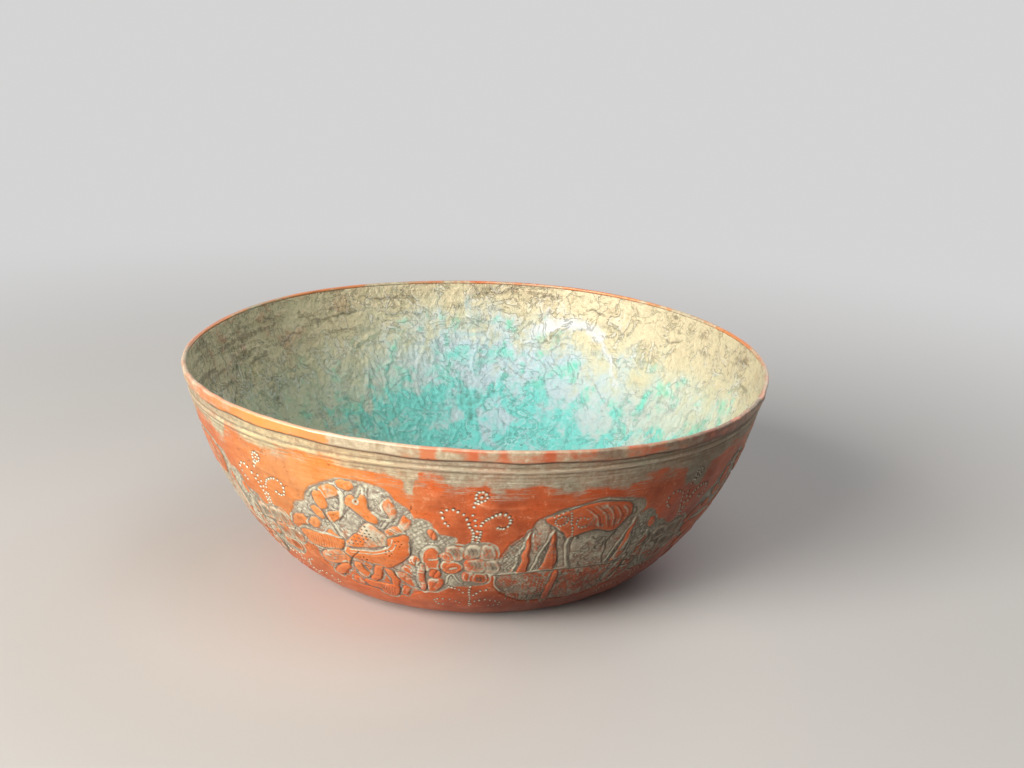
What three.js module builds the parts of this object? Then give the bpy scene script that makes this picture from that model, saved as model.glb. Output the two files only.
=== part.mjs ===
// Tinned copper bowl, raised by hammer from one sheet, with a copper strip turned over its edge.
// Millimetres, +Z up. The origin is the centre of the foot, on the surface that the bowl stands on.
import * as THREE from 'three';

// Driving dimensions
const mouthRadius = 110; // outside of the rim band at the lip
const bowlHeight = 79.5; // from the foot to the top of the lip, before the rim's waves
const footRadius = 54; // flat underside
const footReach = 20; // how far the wall runs out low before it turns up
const wallReach = 42; // how far down from the lip the wall stays nearly straight
const lipLean = THREE.MathUtils.degToRad(10); // lean of the wall from upright at the lip

const sheetThickness = 0.7; // raised copper sheet
const tinThickness = 0.25; // wiped tin on the inside
const fitClearance = 0.12; // left between pieces that touch

const bandThickness = 0.5; // the strip's outer leg and its fold over the edge
const bandDepth = 4.2; // the strip's outer leg, down from the lip
const lipThickness = 0.25; // the strip's inner leg, hammered thin
const lipDepth = 1.1; // the strip's inner leg, down from the lip
const foldRadius = 0.25; // rounding of the strip's two upper corners

const lineDrop = 2.7; // from the strip's lower edge down to the first chased line
const lineSpacing = 1.1;
const lineWidth = 0.5;
const lineDepth = 0.2;
const lineCount = 3;

// The mouth isn't true: it was left as the hammer and years of use made it
const mouthSpread = [
  { waves: 2, size: 1.0, peak: THREE.MathUtils.degToRad(80) },
  { waves: 4, size: 0.55, peak: THREE.MathUtils.degToRad(34) },
];
const mouthLift = [
  { waves: 1, size: 0.7, peak: THREE.MathUtils.degToRad(135) },
  { waves: 2, size: 0.9, peak: THREE.MathUtils.degToRad(63) },
  { waves: 3, size: 0.15, peak: THREE.MathUtils.degToRad(5) },
  { waves: 5, size: 0.25, peak: THREE.MathUtils.degToRad(-4) },
];

// Facets
const turnSteps = 72;
const wallSteps = 11;

// The outer face of the copper wall, from the edge of the foot to the lip
const wallMouth = mouthRadius - bandThickness - fitClearance;
const wall = new THREE.CubicBezierCurve(
  new THREE.Vector2(footRadius, 0),
  new THREE.Vector2(footRadius + footReach, 0),
  new THREE.Vector2(wallMouth - wallReach * Math.sin(lipLean), bowlHeight - wallReach * Math.cos(lipLean)),
  new THREE.Vector2(wallMouth, bowlHeight),
);
const lipArc = wall.getLength();

// A point beside the wall: arc is measured up the wall from the foot, out is square to its outer face
function besideWall(arc, out) {
  const along = THREE.MathUtils.clamp(arc / lipArc, 0, 1);
  const tangent = wall.getTangentAt(along);
  const point = wall.getPointAt(along);
  return new THREE.Vector2(point.x + out * tangent.y, point.y - out * tangent.x);
}

// Points up the wall at one distance from its outer face
function wallFace(fromArc, toArc, out, steps = wallSteps) {
  const points = [];
  for (let step = 0; step <= steps; step += 1) {
    points.push(besideWall(THREE.MathUtils.lerp(fromArc, toArc, step / steps), out));
  }
  return points;
}

// The sum of a set of waves round the mouth, at one angle
function waveSum(waves, angle) {
  return waves.reduce((sum, wave) => sum + wave.size * Math.cos(wave.waves * (angle - wave.peak)), 0);
}

// Every piece is turned from its section and then drawn out of true in the same way
function turned(name, section, look) {
  const geometry = new THREE.LatheGeometry(section, turnSteps);
  geometry.rotateX(Math.PI / 2);
  const place = geometry.attributes.position;
  for (let index = 0; index < place.count; index += 1) {
    const angle = Math.atan2(place.getY(index), place.getX(index));
    const radius = Math.hypot(place.getX(index), place.getY(index));
    const rise = place.getZ(index) / bowlHeight;
    const newRadius = radius + rise * (radius / mouthRadius) * waveSum(mouthSpread, angle);
    const lift = rise * rise * (radius / mouthRadius) * waveSum(mouthLift, angle);
    place.setXYZ(
      index,
      newRadius * Math.cos(angle),
      newRadius * Math.sin(angle),
      place.getZ(index) + lift,
    );
  }
  geometry.computeVertexNormals();
  const mesh = new THREE.Mesh(geometry, new THREE.MeshStandardMaterial(look));
  mesh.name = name;
  return mesh;
}

// The raised bowl: one sheet, with lines chased round it under the rim
function bowlShell() {
  const edgeArc = lipArc - bandThickness - fitClearance;
  const firstLine = lipArc - bandDepth - lineDrop;
  const lines = [];
  for (let line = lineCount - 1; line >= 0; line -= 1) {
    const middle = firstLine - line * lineSpacing;
    lines.push(besideWall(middle - lineWidth / 2, 0));
    lines.push(besideWall(middle, -lineDepth));
    lines.push(besideWall(middle + lineWidth / 2, 0));
  }
  const lowestLine = firstLine - (lineCount - 1) * lineSpacing - lineWidth;
  const outside = [
    new THREE.Vector2(0, 0),
    ...wallFace(0, lowestLine, 0),
    ...lines,
    besideWall(edgeArc, 0),
  ];
  const inside = [
    ...wallFace(0, edgeArc, -sheetThickness).reverse(),
    new THREE.Vector2(0, sheetThickness),
  ];
  return turned('bowl_shell', [...outside, ...inside], {
    color: 0xb8613a,
    roughness: 0.38,
    metalness: 1,
  });
}

// The strip folded over the bowl's edge, standing proud of the wall outside
function rimBand() {
  const outerFace = fitClearance + bandThickness;
  const innerChannel = -sheetThickness - fitClearance;
  const innerFace = innerChannel - lipThickness;
  const channelTop = lipArc - bandThickness;
  const start = besideWall(lipArc - bandDepth, fitClearance);
  const section = [
    start,
    besideWall(lipArc - bandDepth, outerFace),
    besideWall(lipArc - foldRadius, outerFace),
    besideWall(lipArc, outerFace - foldRadius),
    besideWall(lipArc, innerFace + foldRadius),
    besideWall(lipArc - foldRadius, innerFace),
    besideWall(lipArc - lipDepth, innerFace),
    besideWall(lipArc - lipDepth, innerChannel),
    besideWall(channelTop, innerChannel),
    besideWall(channelTop, fitClearance),
    start,
  ];
  return turned('rim_band', section, {
    color: 0xc07a52,
    roughness: 0.34,
    metalness: 1,
  });
}

// The tin wiped over the whole inside, up to the strip's inner leg
function tinLining() {
  const outerFace = -sheetThickness - fitClearance;
  const innerFace = outerFace - tinThickness;
  const topArc = lipArc - lipDepth - fitClearance;
  const section = [
    new THREE.Vector2(0, -outerFace),
    ...wallFace(0, topArc, outerFace),
    ...wallFace(0, topArc, innerFace).reverse(),
    new THREE.Vector2(0, -innerFace),
  ];
  return turned('tin_lining', section, {
    color: 0xb9b49a,
    roughness: 0.5,
    metalness: 0.8,
  });
}

const bowl = new THREE.Group();
bowl.add(bowlShell(), rimBand(), tinLining());

export default bowl;
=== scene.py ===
import math

import bpy
import numpy as np
from mathutils import Matrix


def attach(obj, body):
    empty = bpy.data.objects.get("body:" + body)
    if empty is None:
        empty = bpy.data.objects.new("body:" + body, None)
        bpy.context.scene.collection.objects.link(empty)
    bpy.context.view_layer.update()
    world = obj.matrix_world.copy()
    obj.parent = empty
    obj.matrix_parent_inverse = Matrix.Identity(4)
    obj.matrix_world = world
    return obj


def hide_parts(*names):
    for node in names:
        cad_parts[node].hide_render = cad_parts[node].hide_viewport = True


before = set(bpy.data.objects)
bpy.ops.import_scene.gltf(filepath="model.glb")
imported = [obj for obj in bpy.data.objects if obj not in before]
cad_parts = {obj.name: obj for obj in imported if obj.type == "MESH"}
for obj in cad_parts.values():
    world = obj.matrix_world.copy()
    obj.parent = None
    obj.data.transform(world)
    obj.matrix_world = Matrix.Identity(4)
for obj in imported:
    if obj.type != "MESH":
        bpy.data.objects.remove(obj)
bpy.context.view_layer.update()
mm = 0.001
scene = bpy.context.scene

# The bowl's own sizes, in mm, as the construction has them
bowl = dict(
    mouthRadius=110.0,
    bowlHeight=79.5,
    footRadius=54.0,
    footReach=20.0,
    wallReach=42.0,
    lipLean=math.radians(10),
    sheetThickness=0.7,
    tinThickness=0.25,
    fitClearance=0.12,
    bandThickness=0.5,
    bandDepth=4.2,
    lipThickness=0.25,
    lipDepth=1.1,
    mouthSpread=[(2, 1.0, 80), (4, 0.55, 34)],  # waves round the mouth, size, angle of a peak
    mouthLift=[(1, 0.7, 135), (2, 0.9, 63), (3, 0.15, 5), (5, 0.25, -4)],
)
bellyRadius = 95.0  # where the drawings on the wall have their true width
degree = math.radians(bellyRadius)  # mm along the belly for one degree round the bowl


def stand(item, place, side, top, ahead):  # place in metres; a camera or a lamp looks ahead
    turn = Matrix([[*row] for row in np.stack([side, top, -ahead], 1)]).to_4x4()
    item.matrix_world = Matrix.Translation(place) @ turn


# Camera
camera = dict(
    lens=56.76,
    sensor=36.0,
    place=(13.2, -582.3, 248.04),  # mm
    lookDown=17.222,
    roll=2.395,
)


def makeCamera():
    data = bpy.data.cameras.new("camera")
    data.lens = camera["lens"]
    data.sensor_width = camera["sensor"]
    data.sensor_fit = "HORIZONTAL"
    data.clip_start = 0.01
    data.clip_end = 50
    seen = bpy.data.objects.new("camera", data)
    scene.collection.objects.link(seen)
    down, roll = math.radians(camera["lookDown"]), math.radians(camera["roll"])
    ahead = np.array([0, math.cos(down), -math.sin(down)])
    right = np.array([1.0, 0, 0])
    up = np.cross(right, ahead)
    side = math.cos(roll) * right + math.sin(roll) * up
    top = math.cos(roll) * up - math.sin(roll) * right
    stand(seen, [x * mm for x in camera["place"]], side, top, ahead)
    scene.camera = seen


# Shader maths: one wrapped socket, so that a material reads as sums
class Wire:
    def __init__(self, tree, socket=None):
        self.tree = tree
        self.socket = socket

    def node(self, kind, settings=None, inputs=None, out=0):
        made = self.tree.nodes.new("ShaderNode" + kind)
        for name, value in (settings or {}).items():
            setattr(made, name, value)
        for key, value in (inputs or {}).items():
            if isinstance(value, Wire):
                self.tree.links.new(value.socket, made.inputs[key])
            elif value is not None:
                made.inputs[key].default_value = value
        return Wire(self.tree, made.outputs[out])

    def maths(self, operation, *values):
        return self.node("Math", {"operation": operation}, dict(enumerate(values)))

    def __add__(self, other):
        return self.maths("ADD", self, other)

    def __sub__(self, other):
        return self.maths("SUBTRACT", self, other)

    def __mul__(self, other):
        return self.maths("MULTIPLY", self, other)

    def __truediv__(self, other):
        return self.maths("DIVIDE", self, other)

    def __rsub__(self, other):
        return self.maths("SUBTRACT", other, self)

    __radd__ = __add__
    __rmul__ = __mul__

    def most(self, other):
        return self.maths("MAXIMUM", self, other)

    def step(self, low, high):  # 0 below low, 1 above high, smooth between
        span = {"Value": self, "From Min": low, "From Max": high}
        return self.node("MapRange", {"interpolation_type": "SMOOTHSTEP"}, span)

    def mix(self, under, over):  # colour over where this value is 1
        colours = {0: self, 6: under, 7: over}
        return self.node("Mix", {"data_type": "RGBA"}, colours, out=2)

    def attribute(self, name):
        return self.node("Attribute", {"attribute_name": name}, out="Fac")

    def attributes(self, *names):
        return [self.attribute(name) for name in names]

    def scaled(self, *scale):  # a place, drawn out by these shares
        return self.node("Mapping", {}, {"Vector": self, "Scale": scale})

    def noise(self, place, scale, detail=3.0, rough=0.55, warp=0.0):
        inputs = {"Vector": place, "Scale": scale, "Detail": detail, "Roughness": rough, "Distortion": warp}
        return self.node("TexNoise", {}, inputs)


def rgb(red, green, blue):  # a colour as it shows on a screen, 0 to 255
    def linear(value):
        share = value / 255
        return share / 12.92 if share <= 0.04045 else ((share + 0.055) / 1.055) ** 2.4

    return (linear(red), linear(green), linear(blue), 1.0)


def newMaterial(name):
    material = bpy.data.materials.new(name)
    material.use_nodes = True
    tree = material.node_tree
    tree.nodes.clear()
    shader = tree.nodes.new("ShaderNodeBsdfPrincipled")
    output = tree.nodes.new("ShaderNodeOutputMaterial")
    tree.links.new(shader.outputs[0], output.inputs["Surface"])
    return material, Wire(tree), shader


def connect(shader, values):
    for name, value in values.items():
        if isinstance(value, Wire):
            value.tree.links.new(value.socket, shader.inputs[name])
        else:
            shader.inputs[name].default_value = value


# Small sums that many pieces use
def hump(away, width, power=2):  # 1 where away is 0, and nearly 0 past the width
    return np.exp(-((away / width) ** power))


def fromStretch(x, y, a, b):  # how far these points are from the straight stretch between a and b
    dx, dy = b - a
    x, y = x - a[0], y - a[1]
    t = np.clip((x * dx + y * dy) / max(dx * dx + dy * dy, 1e-9), 0, 1)
    return np.hypot(x - t * dx, y - t * dy)


def readMarks(theta, marks):  # marks are pairs of an angle and a value; straight lines between them
    return np.interp(theta, *zip(*marks))


def roundTurn(steps):  # the angles of one row round the bowl, in degrees
    return np.arange(steps) * 360 / steps - 180


# The wall: one curve from the foot to the lip, turned and then drawn out of true
def wallCurve():
    lean, reach = bowl["lipLean"], bowl["wallReach"]
    mouth = bowl["mouthRadius"] - bowl["bandThickness"] - bowl["fitClearance"]
    corners = np.array([
        (bowl["footRadius"], 0),
        (bowl["footRadius"] + bowl["footReach"], 0),
        (mouth - reach * math.sin(lean), bowl["bowlHeight"] - reach * math.cos(lean)),
        (mouth, bowl["bowlHeight"]),
    ])
    t = np.linspace(0, 1, 2001)[:, None]
    weights = ((1 - t) ** 3, 3 * t * (1 - t) ** 2, 3 * t * t * (1 - t), t**3)
    path = sum(weight * corner for weight, corner in zip(weights, corners))
    arc = np.concatenate([[0], np.cumsum(np.hypot(*np.diff(path, axis=0).T))])
    slope = np.gradient(path, arc, axis=0)
    return arc, path, slope / np.hypot(*slope.T)[:, None]


wallArc, wallPath, wallSlope = wallCurve()
lipArc = wallArc[-1]


def besideWall(arc, out):  # radius and height, out mm from the wall's outer face
    radius, height = (np.interp(arc, wallArc, wallPath[:, i]) for i in (0, 1))
    across, rise = (np.interp(arc, wallArc, wallSlope[:, i]) for i in (0, 1))
    return radius + out * rise, height - out * across


def waveSum(waves, angle):
    return sum(size * np.cos(count * (angle - math.radians(peak))) for count, size, peak in waves)


def inSpace(theta, radius, height):  # theta in degrees, 0 toward the camera; the result in metres
    angle = np.radians(theta) - math.pi / 2
    rise = height / bowl["bowlHeight"]
    share = radius / bowl["mouthRadius"]
    wide = radius + rise * share * waveSum(bowl["mouthSpread"], angle)
    high = height + rise * rise * share * waveSum(bowl["mouthLift"], angle)
    return np.stack([wide * np.cos(angle), wide * np.sin(angle), high], -1) * mm


def ripple(theta, along, seed, count, least, most):  # a sum of waves that closes round the bowl
    rng = np.random.default_rng(seed)
    total = np.zeros(np.broadcast(theta, along).shape)
    around = 360 * degree
    for _ in range(count):
        length, heading = rng.uniform(least, most), rng.uniform(0, math.pi)
        turns = round(around / length * math.cos(heading))
        climb = 2 * math.pi / length * math.sin(heading)
        total += np.cos(np.radians(theta) * turns + along * climb + rng.uniform(0, 2 * math.pi))
    return total / math.sqrt(count / 2)


def dimpled(theta, radius, seed, count, least, most):  # a sum of waves across a flat round face
    rng = np.random.default_rng(seed)
    x, y = radius * np.cos(np.radians(theta)), radius * np.sin(np.radians(theta))
    total = np.zeros(x.shape)
    for _ in range(count):
        length, heading = rng.uniform(least, most), rng.uniform(0, 2 * math.pi)
        across = x * math.cos(heading) + y * math.sin(heading)
        total += np.cos(2 * math.pi * across / length + rng.uniform(0, 2 * math.pi))
    return total / math.sqrt(count / 2)


# Drawing on the unrolled wall: degrees round the bowl, mm up from the foot
def blur(layer, size, rowStep, colStep):
    rows, cols = layer.shape
    across = (np.fft.fftfreq(rows)[:, None] / rowStep) ** 2 + (np.fft.rfftfreq(cols)[None] / colStep) ** 2
    return np.fft.irfft2(np.fft.rfft2(layer) * np.exp(-2 * (math.pi * size) ** 2 * across), s=layer.shape)


class Panel:
    # sunk ground, its edge, standing forms, their swell in mm, cuts in mm,
    # tin left, dirt and painted shade, rubbed edges with a painted highlight in one place, matting
    names = ("field", "border", "figure", "swell", "cut", "tin", "grimeAndShade", "rubAndSheen", "matted")
    step = 0.125  # mm between the points of a layer
    standing = 0.4675  # share of its swell that is left after years of polishing
    tinLeft = (0, 0.2, 0.4, 0.55)  # a form keeps one of these shares of its tin, or more if it is told

    def __init__(self, left, right, seed):
        self.x = left * degree + (np.arange(int((right - left) * degree / self.step)) + 0.5) * self.step
        self.y = (np.arange(int(lipArc / self.step)) + 0.5) * self.step
        self.layers = {name: np.zeros((len(self.y), len(self.x))) for name in self.names}
        self.rng = np.random.default_rng(seed)
        self.wander = self.soft(self.rng.standard_normal(self.layers["cut"].shape), 1.2)
        self.wander /= self.wander.std()

    def soft(self, layer, size):
        return blur(layer, size, self.step, self.step)

    def keep(self, name, amount, window=slice(None)):  # whichever is more, what is there or this
        layer = self.layers[name]
        layer[window] = np.maximum(layer[window], amount)

    def curve(self, points, closed=False, sharp=False):
        p = np.array(points, float) * (degree, 1)
        if sharp:
            return np.vstack([p, p[:1]]) if closed else p
        ends = (p[-1:], p[:2]) if closed else (2 * p[:1] - p[1:2], 2 * p[-1:] - p[-2:-1])
        ring = np.vstack([ends[0], p, ends[1]])
        t = np.linspace(0, 1, 7)[:-1, None]
        spans = []
        for a, b, c, d in zip(ring, ring[1:], ring[2:], ring[3:]):
            bend = (2 * a - 5 * b + 4 * c - d) * t**2 + (3 * b - a - 3 * c + d) * t**3
            spans.append(0.5 * (2 * b + (c - a) * t + bend))
        return np.vstack(spans + [ring[-2][None]])

    def inside(self, line):
        flips = np.zeros((len(self.y), len(self.x) + 1))
        for a, b in zip(line, np.roll(line, -1, 0)):
            low, high = (a, b) if a[1] < b[1] else (b, a)
            first, last = (
                int(np.clip(math.ceil(p[1] / self.step - 0.5), 0, len(self.y))) for p in (low, high)
            )
            if last > first:
                rows = np.arange(first, last)
                x = low[0] + (self.y[rows] - low[1]) * (high[0] - low[0]) / (high[1] - low[1])
                cols = np.clip(np.ceil((x - self.x[0]) / self.step), 0, len(self.x)).astype(int)
                np.add.at(flips, (rows, cols), 1)
        return np.cumsum(flips, 1)[:, :-1] % 2

    def span(self, axis, low, high):
        start = int(np.clip((low - axis[0]) / self.step, 0, len(axis)))
        return start, int(np.clip((high - axis[0]) / self.step + 1, 0, len(axis)))

    def near(self, line, reach):  # the window round a line, and how far each point in it is from the line
        left, right = self.span(self.x, line[:, 0].min() - reach, line[:, 0].max() + reach)
        low, high = self.span(self.y, line[:, 1].min() - reach, line[:, 1].max() + reach)
        away = np.full((high - low, right - left), float(reach))
        for a, b in zip(line, line[1:]):
            start, stop = self.span(self.x, min(a[0], b[0]) - reach, max(a[0], b[0]) + reach)
            below, above = self.span(self.y, min(a[1], b[1]) - reach, max(a[1], b[1]) + reach)
            if stop <= start or above <= below:
                continue
            part = away[below - low : above - low, start - left : stop - left]
            there = fromStretch(self.x[None, start:stop], self.y[below:above, None], a, b)
            np.minimum(part, there, out=part)
        return (slice(low, high), slice(left, right)), away

    def line(self, points, width=0.8, depth=0.3, grimeAndShade=0.6, tin=0.0, closed=False, sharp=False):
        window, away = self.near(self.curve(points, closed, sharp), 2.5 * width)
        mark = hump(away, 0.5 * width)
        self.keep("cut", depth * mark, window)
        self.keep("grimeAndShade", grimeAndShade * mark, window)
        self.keep("tin", tin * mark, window)
        self.keep("rubAndSheen", 0.3 * hump(away - 0.85 * width, 0.35 * width), window)

    def pale(self, points, width=0.8, closed=False, sharp=False):
        # a ridge with its tin, cut along both sides
        window, away = self.near(self.curve(points, closed, sharp), 2.5 * width)
        ridge = hump(away, 0.6 * width, 4)
        side = hump(away - width, 0.35 * width)
        for name in ("grimeAndShade", "cut", "matted"):
            self.layers[name][window] *= 1 - ridge
        self.keep("tin", (1.08 + 0.1 * self.wander[window]) * ridge, window)
        self.keep("swell", 0.08 * ridge, window)
        self.keep("cut", 0.16 * side, window)
        self.keep("grimeAndShade", 0.5 * side, window)

    def dots(self, places, size=1.2, depth=0.24, tin=1.6, grimeAndShade=1.2):
        # punched pits, with a painted highlight low on their left and dirt and painted shade round the rest
        for place in places:
            middle = np.array(place, float) * (degree, 1)
            window, away = self.near(np.array([middle, middle]), 1.6 * size)
            x, y = self.x[None, window[1]] - middle[0], self.y[window[0], None] - middle[1]
            lowLeft = np.hypot(x + 0.2 * size, y + 0.26 * size)
            spot = hump(lowLeft, 0.42 * size, 4) * (tin > 0)
            self.keep("cut", depth * hump(away, 0.5 * size, 3), window)
            self.keep("tin", tin * spot, window)
            self.keep("grimeAndShade", grimeAndShade * hump(away, 0.6 * size, 4) * (1 - spot), window)

    def boss(self, place, size, height):  # a soft swelling
        window, away = self.near(np.array([place, place], float) * (degree, 1), 2.5 * size)
        self.keep("swell", height * hump(away, size), window)

    def field(self, points, tin=0.85, matted=1.0, grimeAndShade=0.0, bare=None):
        # ground beaten down round the forms; below the height bare, its tin has mostly gone
        mask = self.inside(self.curve(points, True))
        soft = np.clip(self.soft(mask, 0.45), 0, 1)
        wide = np.clip(self.soft(mask, 1.3), 0, 1)
        self.keep("field", soft)
        self.keep("border", 4 * wide * (1 - wide))
        lost = 0.0
        if bare is not None:
            lost = 0.9 * np.clip((bare - self.y[:, None]) / 14 + 0.3 * self.wander, 0, 1)
        self.keep("tin", tin * soft * (1 - lost))
        self.keep("matted", matted * soft)
        self.keep("grimeAndShade", (grimeAndShade + 0.2 * lost) * soft)

    def shade(self, points, grimeAndShade, tin=0.0):  # a part of the ground that is darker
        soft = np.clip(self.soft(self.inside(self.curve(points, True)), 0.8), 0, 1)
        self.keep("grimeAndShade", grimeAndShade * soft)
        self.keep("tin", tin * soft)

    def figure(self, points, swell=0.2, groove=0.15, tin=0.0, edge=1.2, sharp=False, grow=0.3, dark=0.42):
        # a form left standing; grow is how many mm it reaches past its drawn outline
        line = self.curve(points, True, sharp)
        window, away = self.near(line, 3.0)
        depth = np.full(self.wander.shape, 3.0)
        depth[window] = away
        depth = np.where(self.inside(line) > 0, depth, -depth) + grow
        soft = np.clip(self.soft(depth > 0, 0.2), 0, 1)
        for name in ("tin", "cut", "grimeAndShade", "matted"):
            self.layers[name] *= 1 - soft
        crown = 1 - (1 - np.clip(depth / edge, 0, 1)) ** 2
        crown = self.standing * swell * crown * (1 - 0.22 * np.abs(self.wander))
        self.layers["swell"] = np.where(depth > 0, crown, self.layers["swell"])
        self.keep("figure", soft)
        self.keep("tin", max(tin, self.rng.choice(self.tinLeft)) * soft)
        uneven = np.clip(0.6 + 0.5 * self.wander, 0, 1.3)
        self.keep("cut", groove * hump(depth + 0.15, 0.32))  # the cut round the form
        self.keep("grimeAndShade", dark * uneven * hump(depth + 0.2, 0.3))  # and the dirt and painted shade in it
        self.keep("tin", (1.02 + 0.16 * self.wander) * hump(depth + 0.8, 0.45))  # a pale line outside it
        self.keep("rubAndSheen", 0.45 * uneven * hump(depth - 0.5, 0.4))  # the form's rubbed edge
        self.keep("grimeAndShade", 0.22 * uneven * (depth > -0.5))
        self.keep("grimeAndShade", 0.6 * uneven * hump(depth - 0.1, 0.6))  # painted shade toward its edge, where the form rounds down

    def hatch(self, points, slant, pitch, depth=0.22, tin=0.0, grimeAndShade=0.5, sharp=False):
        mask = self.inside(self.curve(points, True, sharp))
        turn = math.radians(slant)
        across = self.x[None] * math.cos(turn) + self.y[:, None] * math.sin(turn) + 0.12 * pitch * self.wander
        phase = 2 * math.pi * across / pitch
        groove = (0.5 + 0.5 * np.cos(phase)) ** 2.5 * mask
        ridge = (0.5 + 0.5 * np.cos(phase - 2.6)) ** 3 * mask
        self.keep("cut", depth * groove)
        self.keep("grimeAndShade", grimeAndShade * groove)
        self.keep("tin", tin * ridge)
        self.keep("rubAndSheen", 0.7 * ridge)

    def scribble(self, points, count, slant=None, length=2.6, width=0.55, depth=0.18, grimeAndShade=0.5, tin=0.8):
        rows, cols = np.nonzero(self.inside(self.curve(points, True)))
        for spot in self.rng.integers(0, len(rows), count):
            if slant is None:
                heading = self.rng.uniform(0, 6.3)
            else:
                heading = math.radians(slant) + self.rng.normal(0, 0.3)
            turn, stride = self.rng.uniform(-0.9, 0.9), 0.5 * length * self.rng.uniform(0.5, 1.3)
            x, y = self.x[cols[spot]], self.y[rows[spot]]
            track = [(x / degree, y)]
            for _ in range(2):
                x, y = x + stride * math.cos(heading), y + stride * math.sin(heading)
                track.append((x / degree, y))
                heading += turn
            if self.rng.random() < 0.5:
                self.line(track, width, depth, grimeAndShade)
            else:
                self.line(track, width, 0.05, 0.0, tin)


def shrunk(points, share):  # an outline drawn in toward its middle
    middle = np.mean(points, 0)
    return [tuple(middle + (np.array(point) - middle) * (1 - share)) for point in points]


def curl(x, y, wide, tall, turns):  # points on a flattened circle, at these angles in radians
    return [(x + wide * math.cos(t), y + tall * math.sin(t)) for t in turns]


def ring(x, y, wide, tall, count):
    return curl(x, y, wide, tall, np.arange(count) * 2 * math.pi / count)


def birdMedallion():
    panel = Panel(-43, -5, seed=11)
    top = [
        (-38.4, 56), (-38.2, 59.7), (-36.6, 65.3), (-34.7, 70.5), (-32.2, 72.2), (-31.2, 75.9),
        (-29.4, 79.9), (-25.9, 83.4), (-22.9, 84.9), (-19.4, 85.9), (-16.8, 85.5), (-14.1, 83.8),
        (-12.6, 80.5), (-10.3, 77.2), (-9.3, 73.4),
    ]
    bottom = [
        (-9.6, 34.3), (-11.8, 30.9), (-14.3, 28), (-16.8, 26.5), (-20.4, 26.8), (-24.4, 28),
        (-28.4, 29.7), (-31.2, 31.8), (-31.9, 34.7), (-33.7, 38), (-36.5, 42.6), (-38, 48),
    ]
    outline = top + [(-10.2, 66), (-10.6, 58), (-10, 48)] + bottom
    panel.field(outline, tin=0.95, bare=60)
    hollow = [(-18.4, 80), (-17.6, 84.4), (-14.6, 83), (-13.6, 78), (-14.6, 72), (-17, 72.6), (-18.2, 76)]
    panel.shade(hollow, 0.35)
    panel.shade([(-24.6, 74), (-22.6, 73), (-19.6, 70), (-18, 67), (-21.6, 65), (-25, 67.4)], 0.2)
    panel.scribble(outline, 420, length=2.6, width=0.48, depth=0.14, grimeAndShade=1.0, tin=1.4)
    panel.line(top, 0.7, 0.14, 0.2)
    panel.line(bottom[5:] + top[:1], 0.7, 0.14, 0.2)
    panel.line(bottom[:6], 0.7, 0.14, 0.2)
    panel.pale(shrunk(outline, 0.06)[5:10], 0.8)
    leaves = [
        [(-27.9, 79), (-26.9, 80.9), (-25.4, 81.8), (-24.4, 81.5), (-23.5, 79), (-24.4, 77.4), (-26.9, 75.9)],
        [(-29.5, 75.9), (-28.9, 77.8), (-27.7, 78), (-26.9, 75.5), (-26.6, 73), (-27.4, 71.3),
         (-28.4, 70.5), (-29.4, 73.4)],
        [(-30.8, 69.7), (-29.9, 70.9), (-28.7, 69.3), (-28.3, 66.8), (-28.9, 65.5), (-29.9, 66.8)],
        [(-27.6, 68.4), (-26.7, 69.7), (-24.6, 71), (-24.1, 69.7), (-25.1, 67.2), (-26.4, 65.5),
         (-27.2, 65.9)],
        [(-37.8, 58.4), (-36.9, 62.2), (-35.7, 63.8), (-33.9, 64.8), (-32.9, 63), (-33.2, 60.9),
         (-35.2, 59.7), (-36.4, 57)],
        [(-32.6, 62), (-31.9, 64.4), (-30.6, 65), (-29.9, 62.9), (-30.8, 60.8), (-31.9, 60.3)],
        [(-29.4, 57.8), (-27.9, 60.7), (-26.3, 58)],
        [(-15.4, 43.8), (-14.4, 44.5), (-12.9, 43.4), (-11.4, 40.1), (-11.1, 36.8), (-12.1, 36.2),
         (-13.9, 38.8), (-15.1, 41.3)],
        [(-15.7, 28.6), (-14.9, 32.6), (-13.9, 35.1), (-13.1, 33.8), (-13.6, 30.9), (-14.9, 28)],
        [(-28.4, 32.2), (-27.6, 35), (-26, 35.2), (-24.9, 33), (-25.6, 30.6), (-27.4, 30.3)],
        [(-24.9, 39.6), (-23.2, 42), (-22.5, 40), (-23.6, 36.4), (-25, 37)],
        [(-23.4, 84), (-22.4, 84.6), (-20.6, 84.6), (-20.3, 83), (-21.6, 81.4), (-23, 82)],
        [(-14.7, 76.4), (-14.6, 78.6), (-13.6, 80.1), (-12.8, 76.2), (-13, 72.4), (-14, 72.1)],
        [(-12.3, 69.8), (-11.2, 73.6), (-10.3, 71.8), (-10.5, 68.4), (-11.6, 67.2)],
    ]
    for i, leaf in enumerate(leaves):
        panel.figure(leaf, tin=0.75 if i > 11 else 0, sharp=True)
        middle, tip = np.mean(leaf, 0), np.array(leaf[2])
        panel.line([middle * 1.4 - tip * 0.4, middle, tip * 0.7 + middle * 0.3], 0.6, 0.16, 0.4)
    for shift in (-0.6, 0.6):
        panel.line([(-27 + shift, 66.6), (-26 + shift, 68.2), (-24.9 + shift, 69.6)], 0.5, 0.2, 0.5)
    panel.line([(-28.6, 70.3), (-27.6, 65.5), (-26.6, 61.3), (-25.6, 56.3)], 0.6, 0.26, 0.9)
    panel.pale([(-27.5, 69.3), (-26.6, 65.5), (-25.8, 61.3), (-24.9, 57.8)], 0.6)
    for x, y in ((-25.4, 62.6), (-24.6, 60.6), (-25.2, 65)):
        panel.line([(x, y), (x + 0.7, y - 2.2), (x + 0.9, y - 4)], 0.6, 0.2, 0.6)
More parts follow.
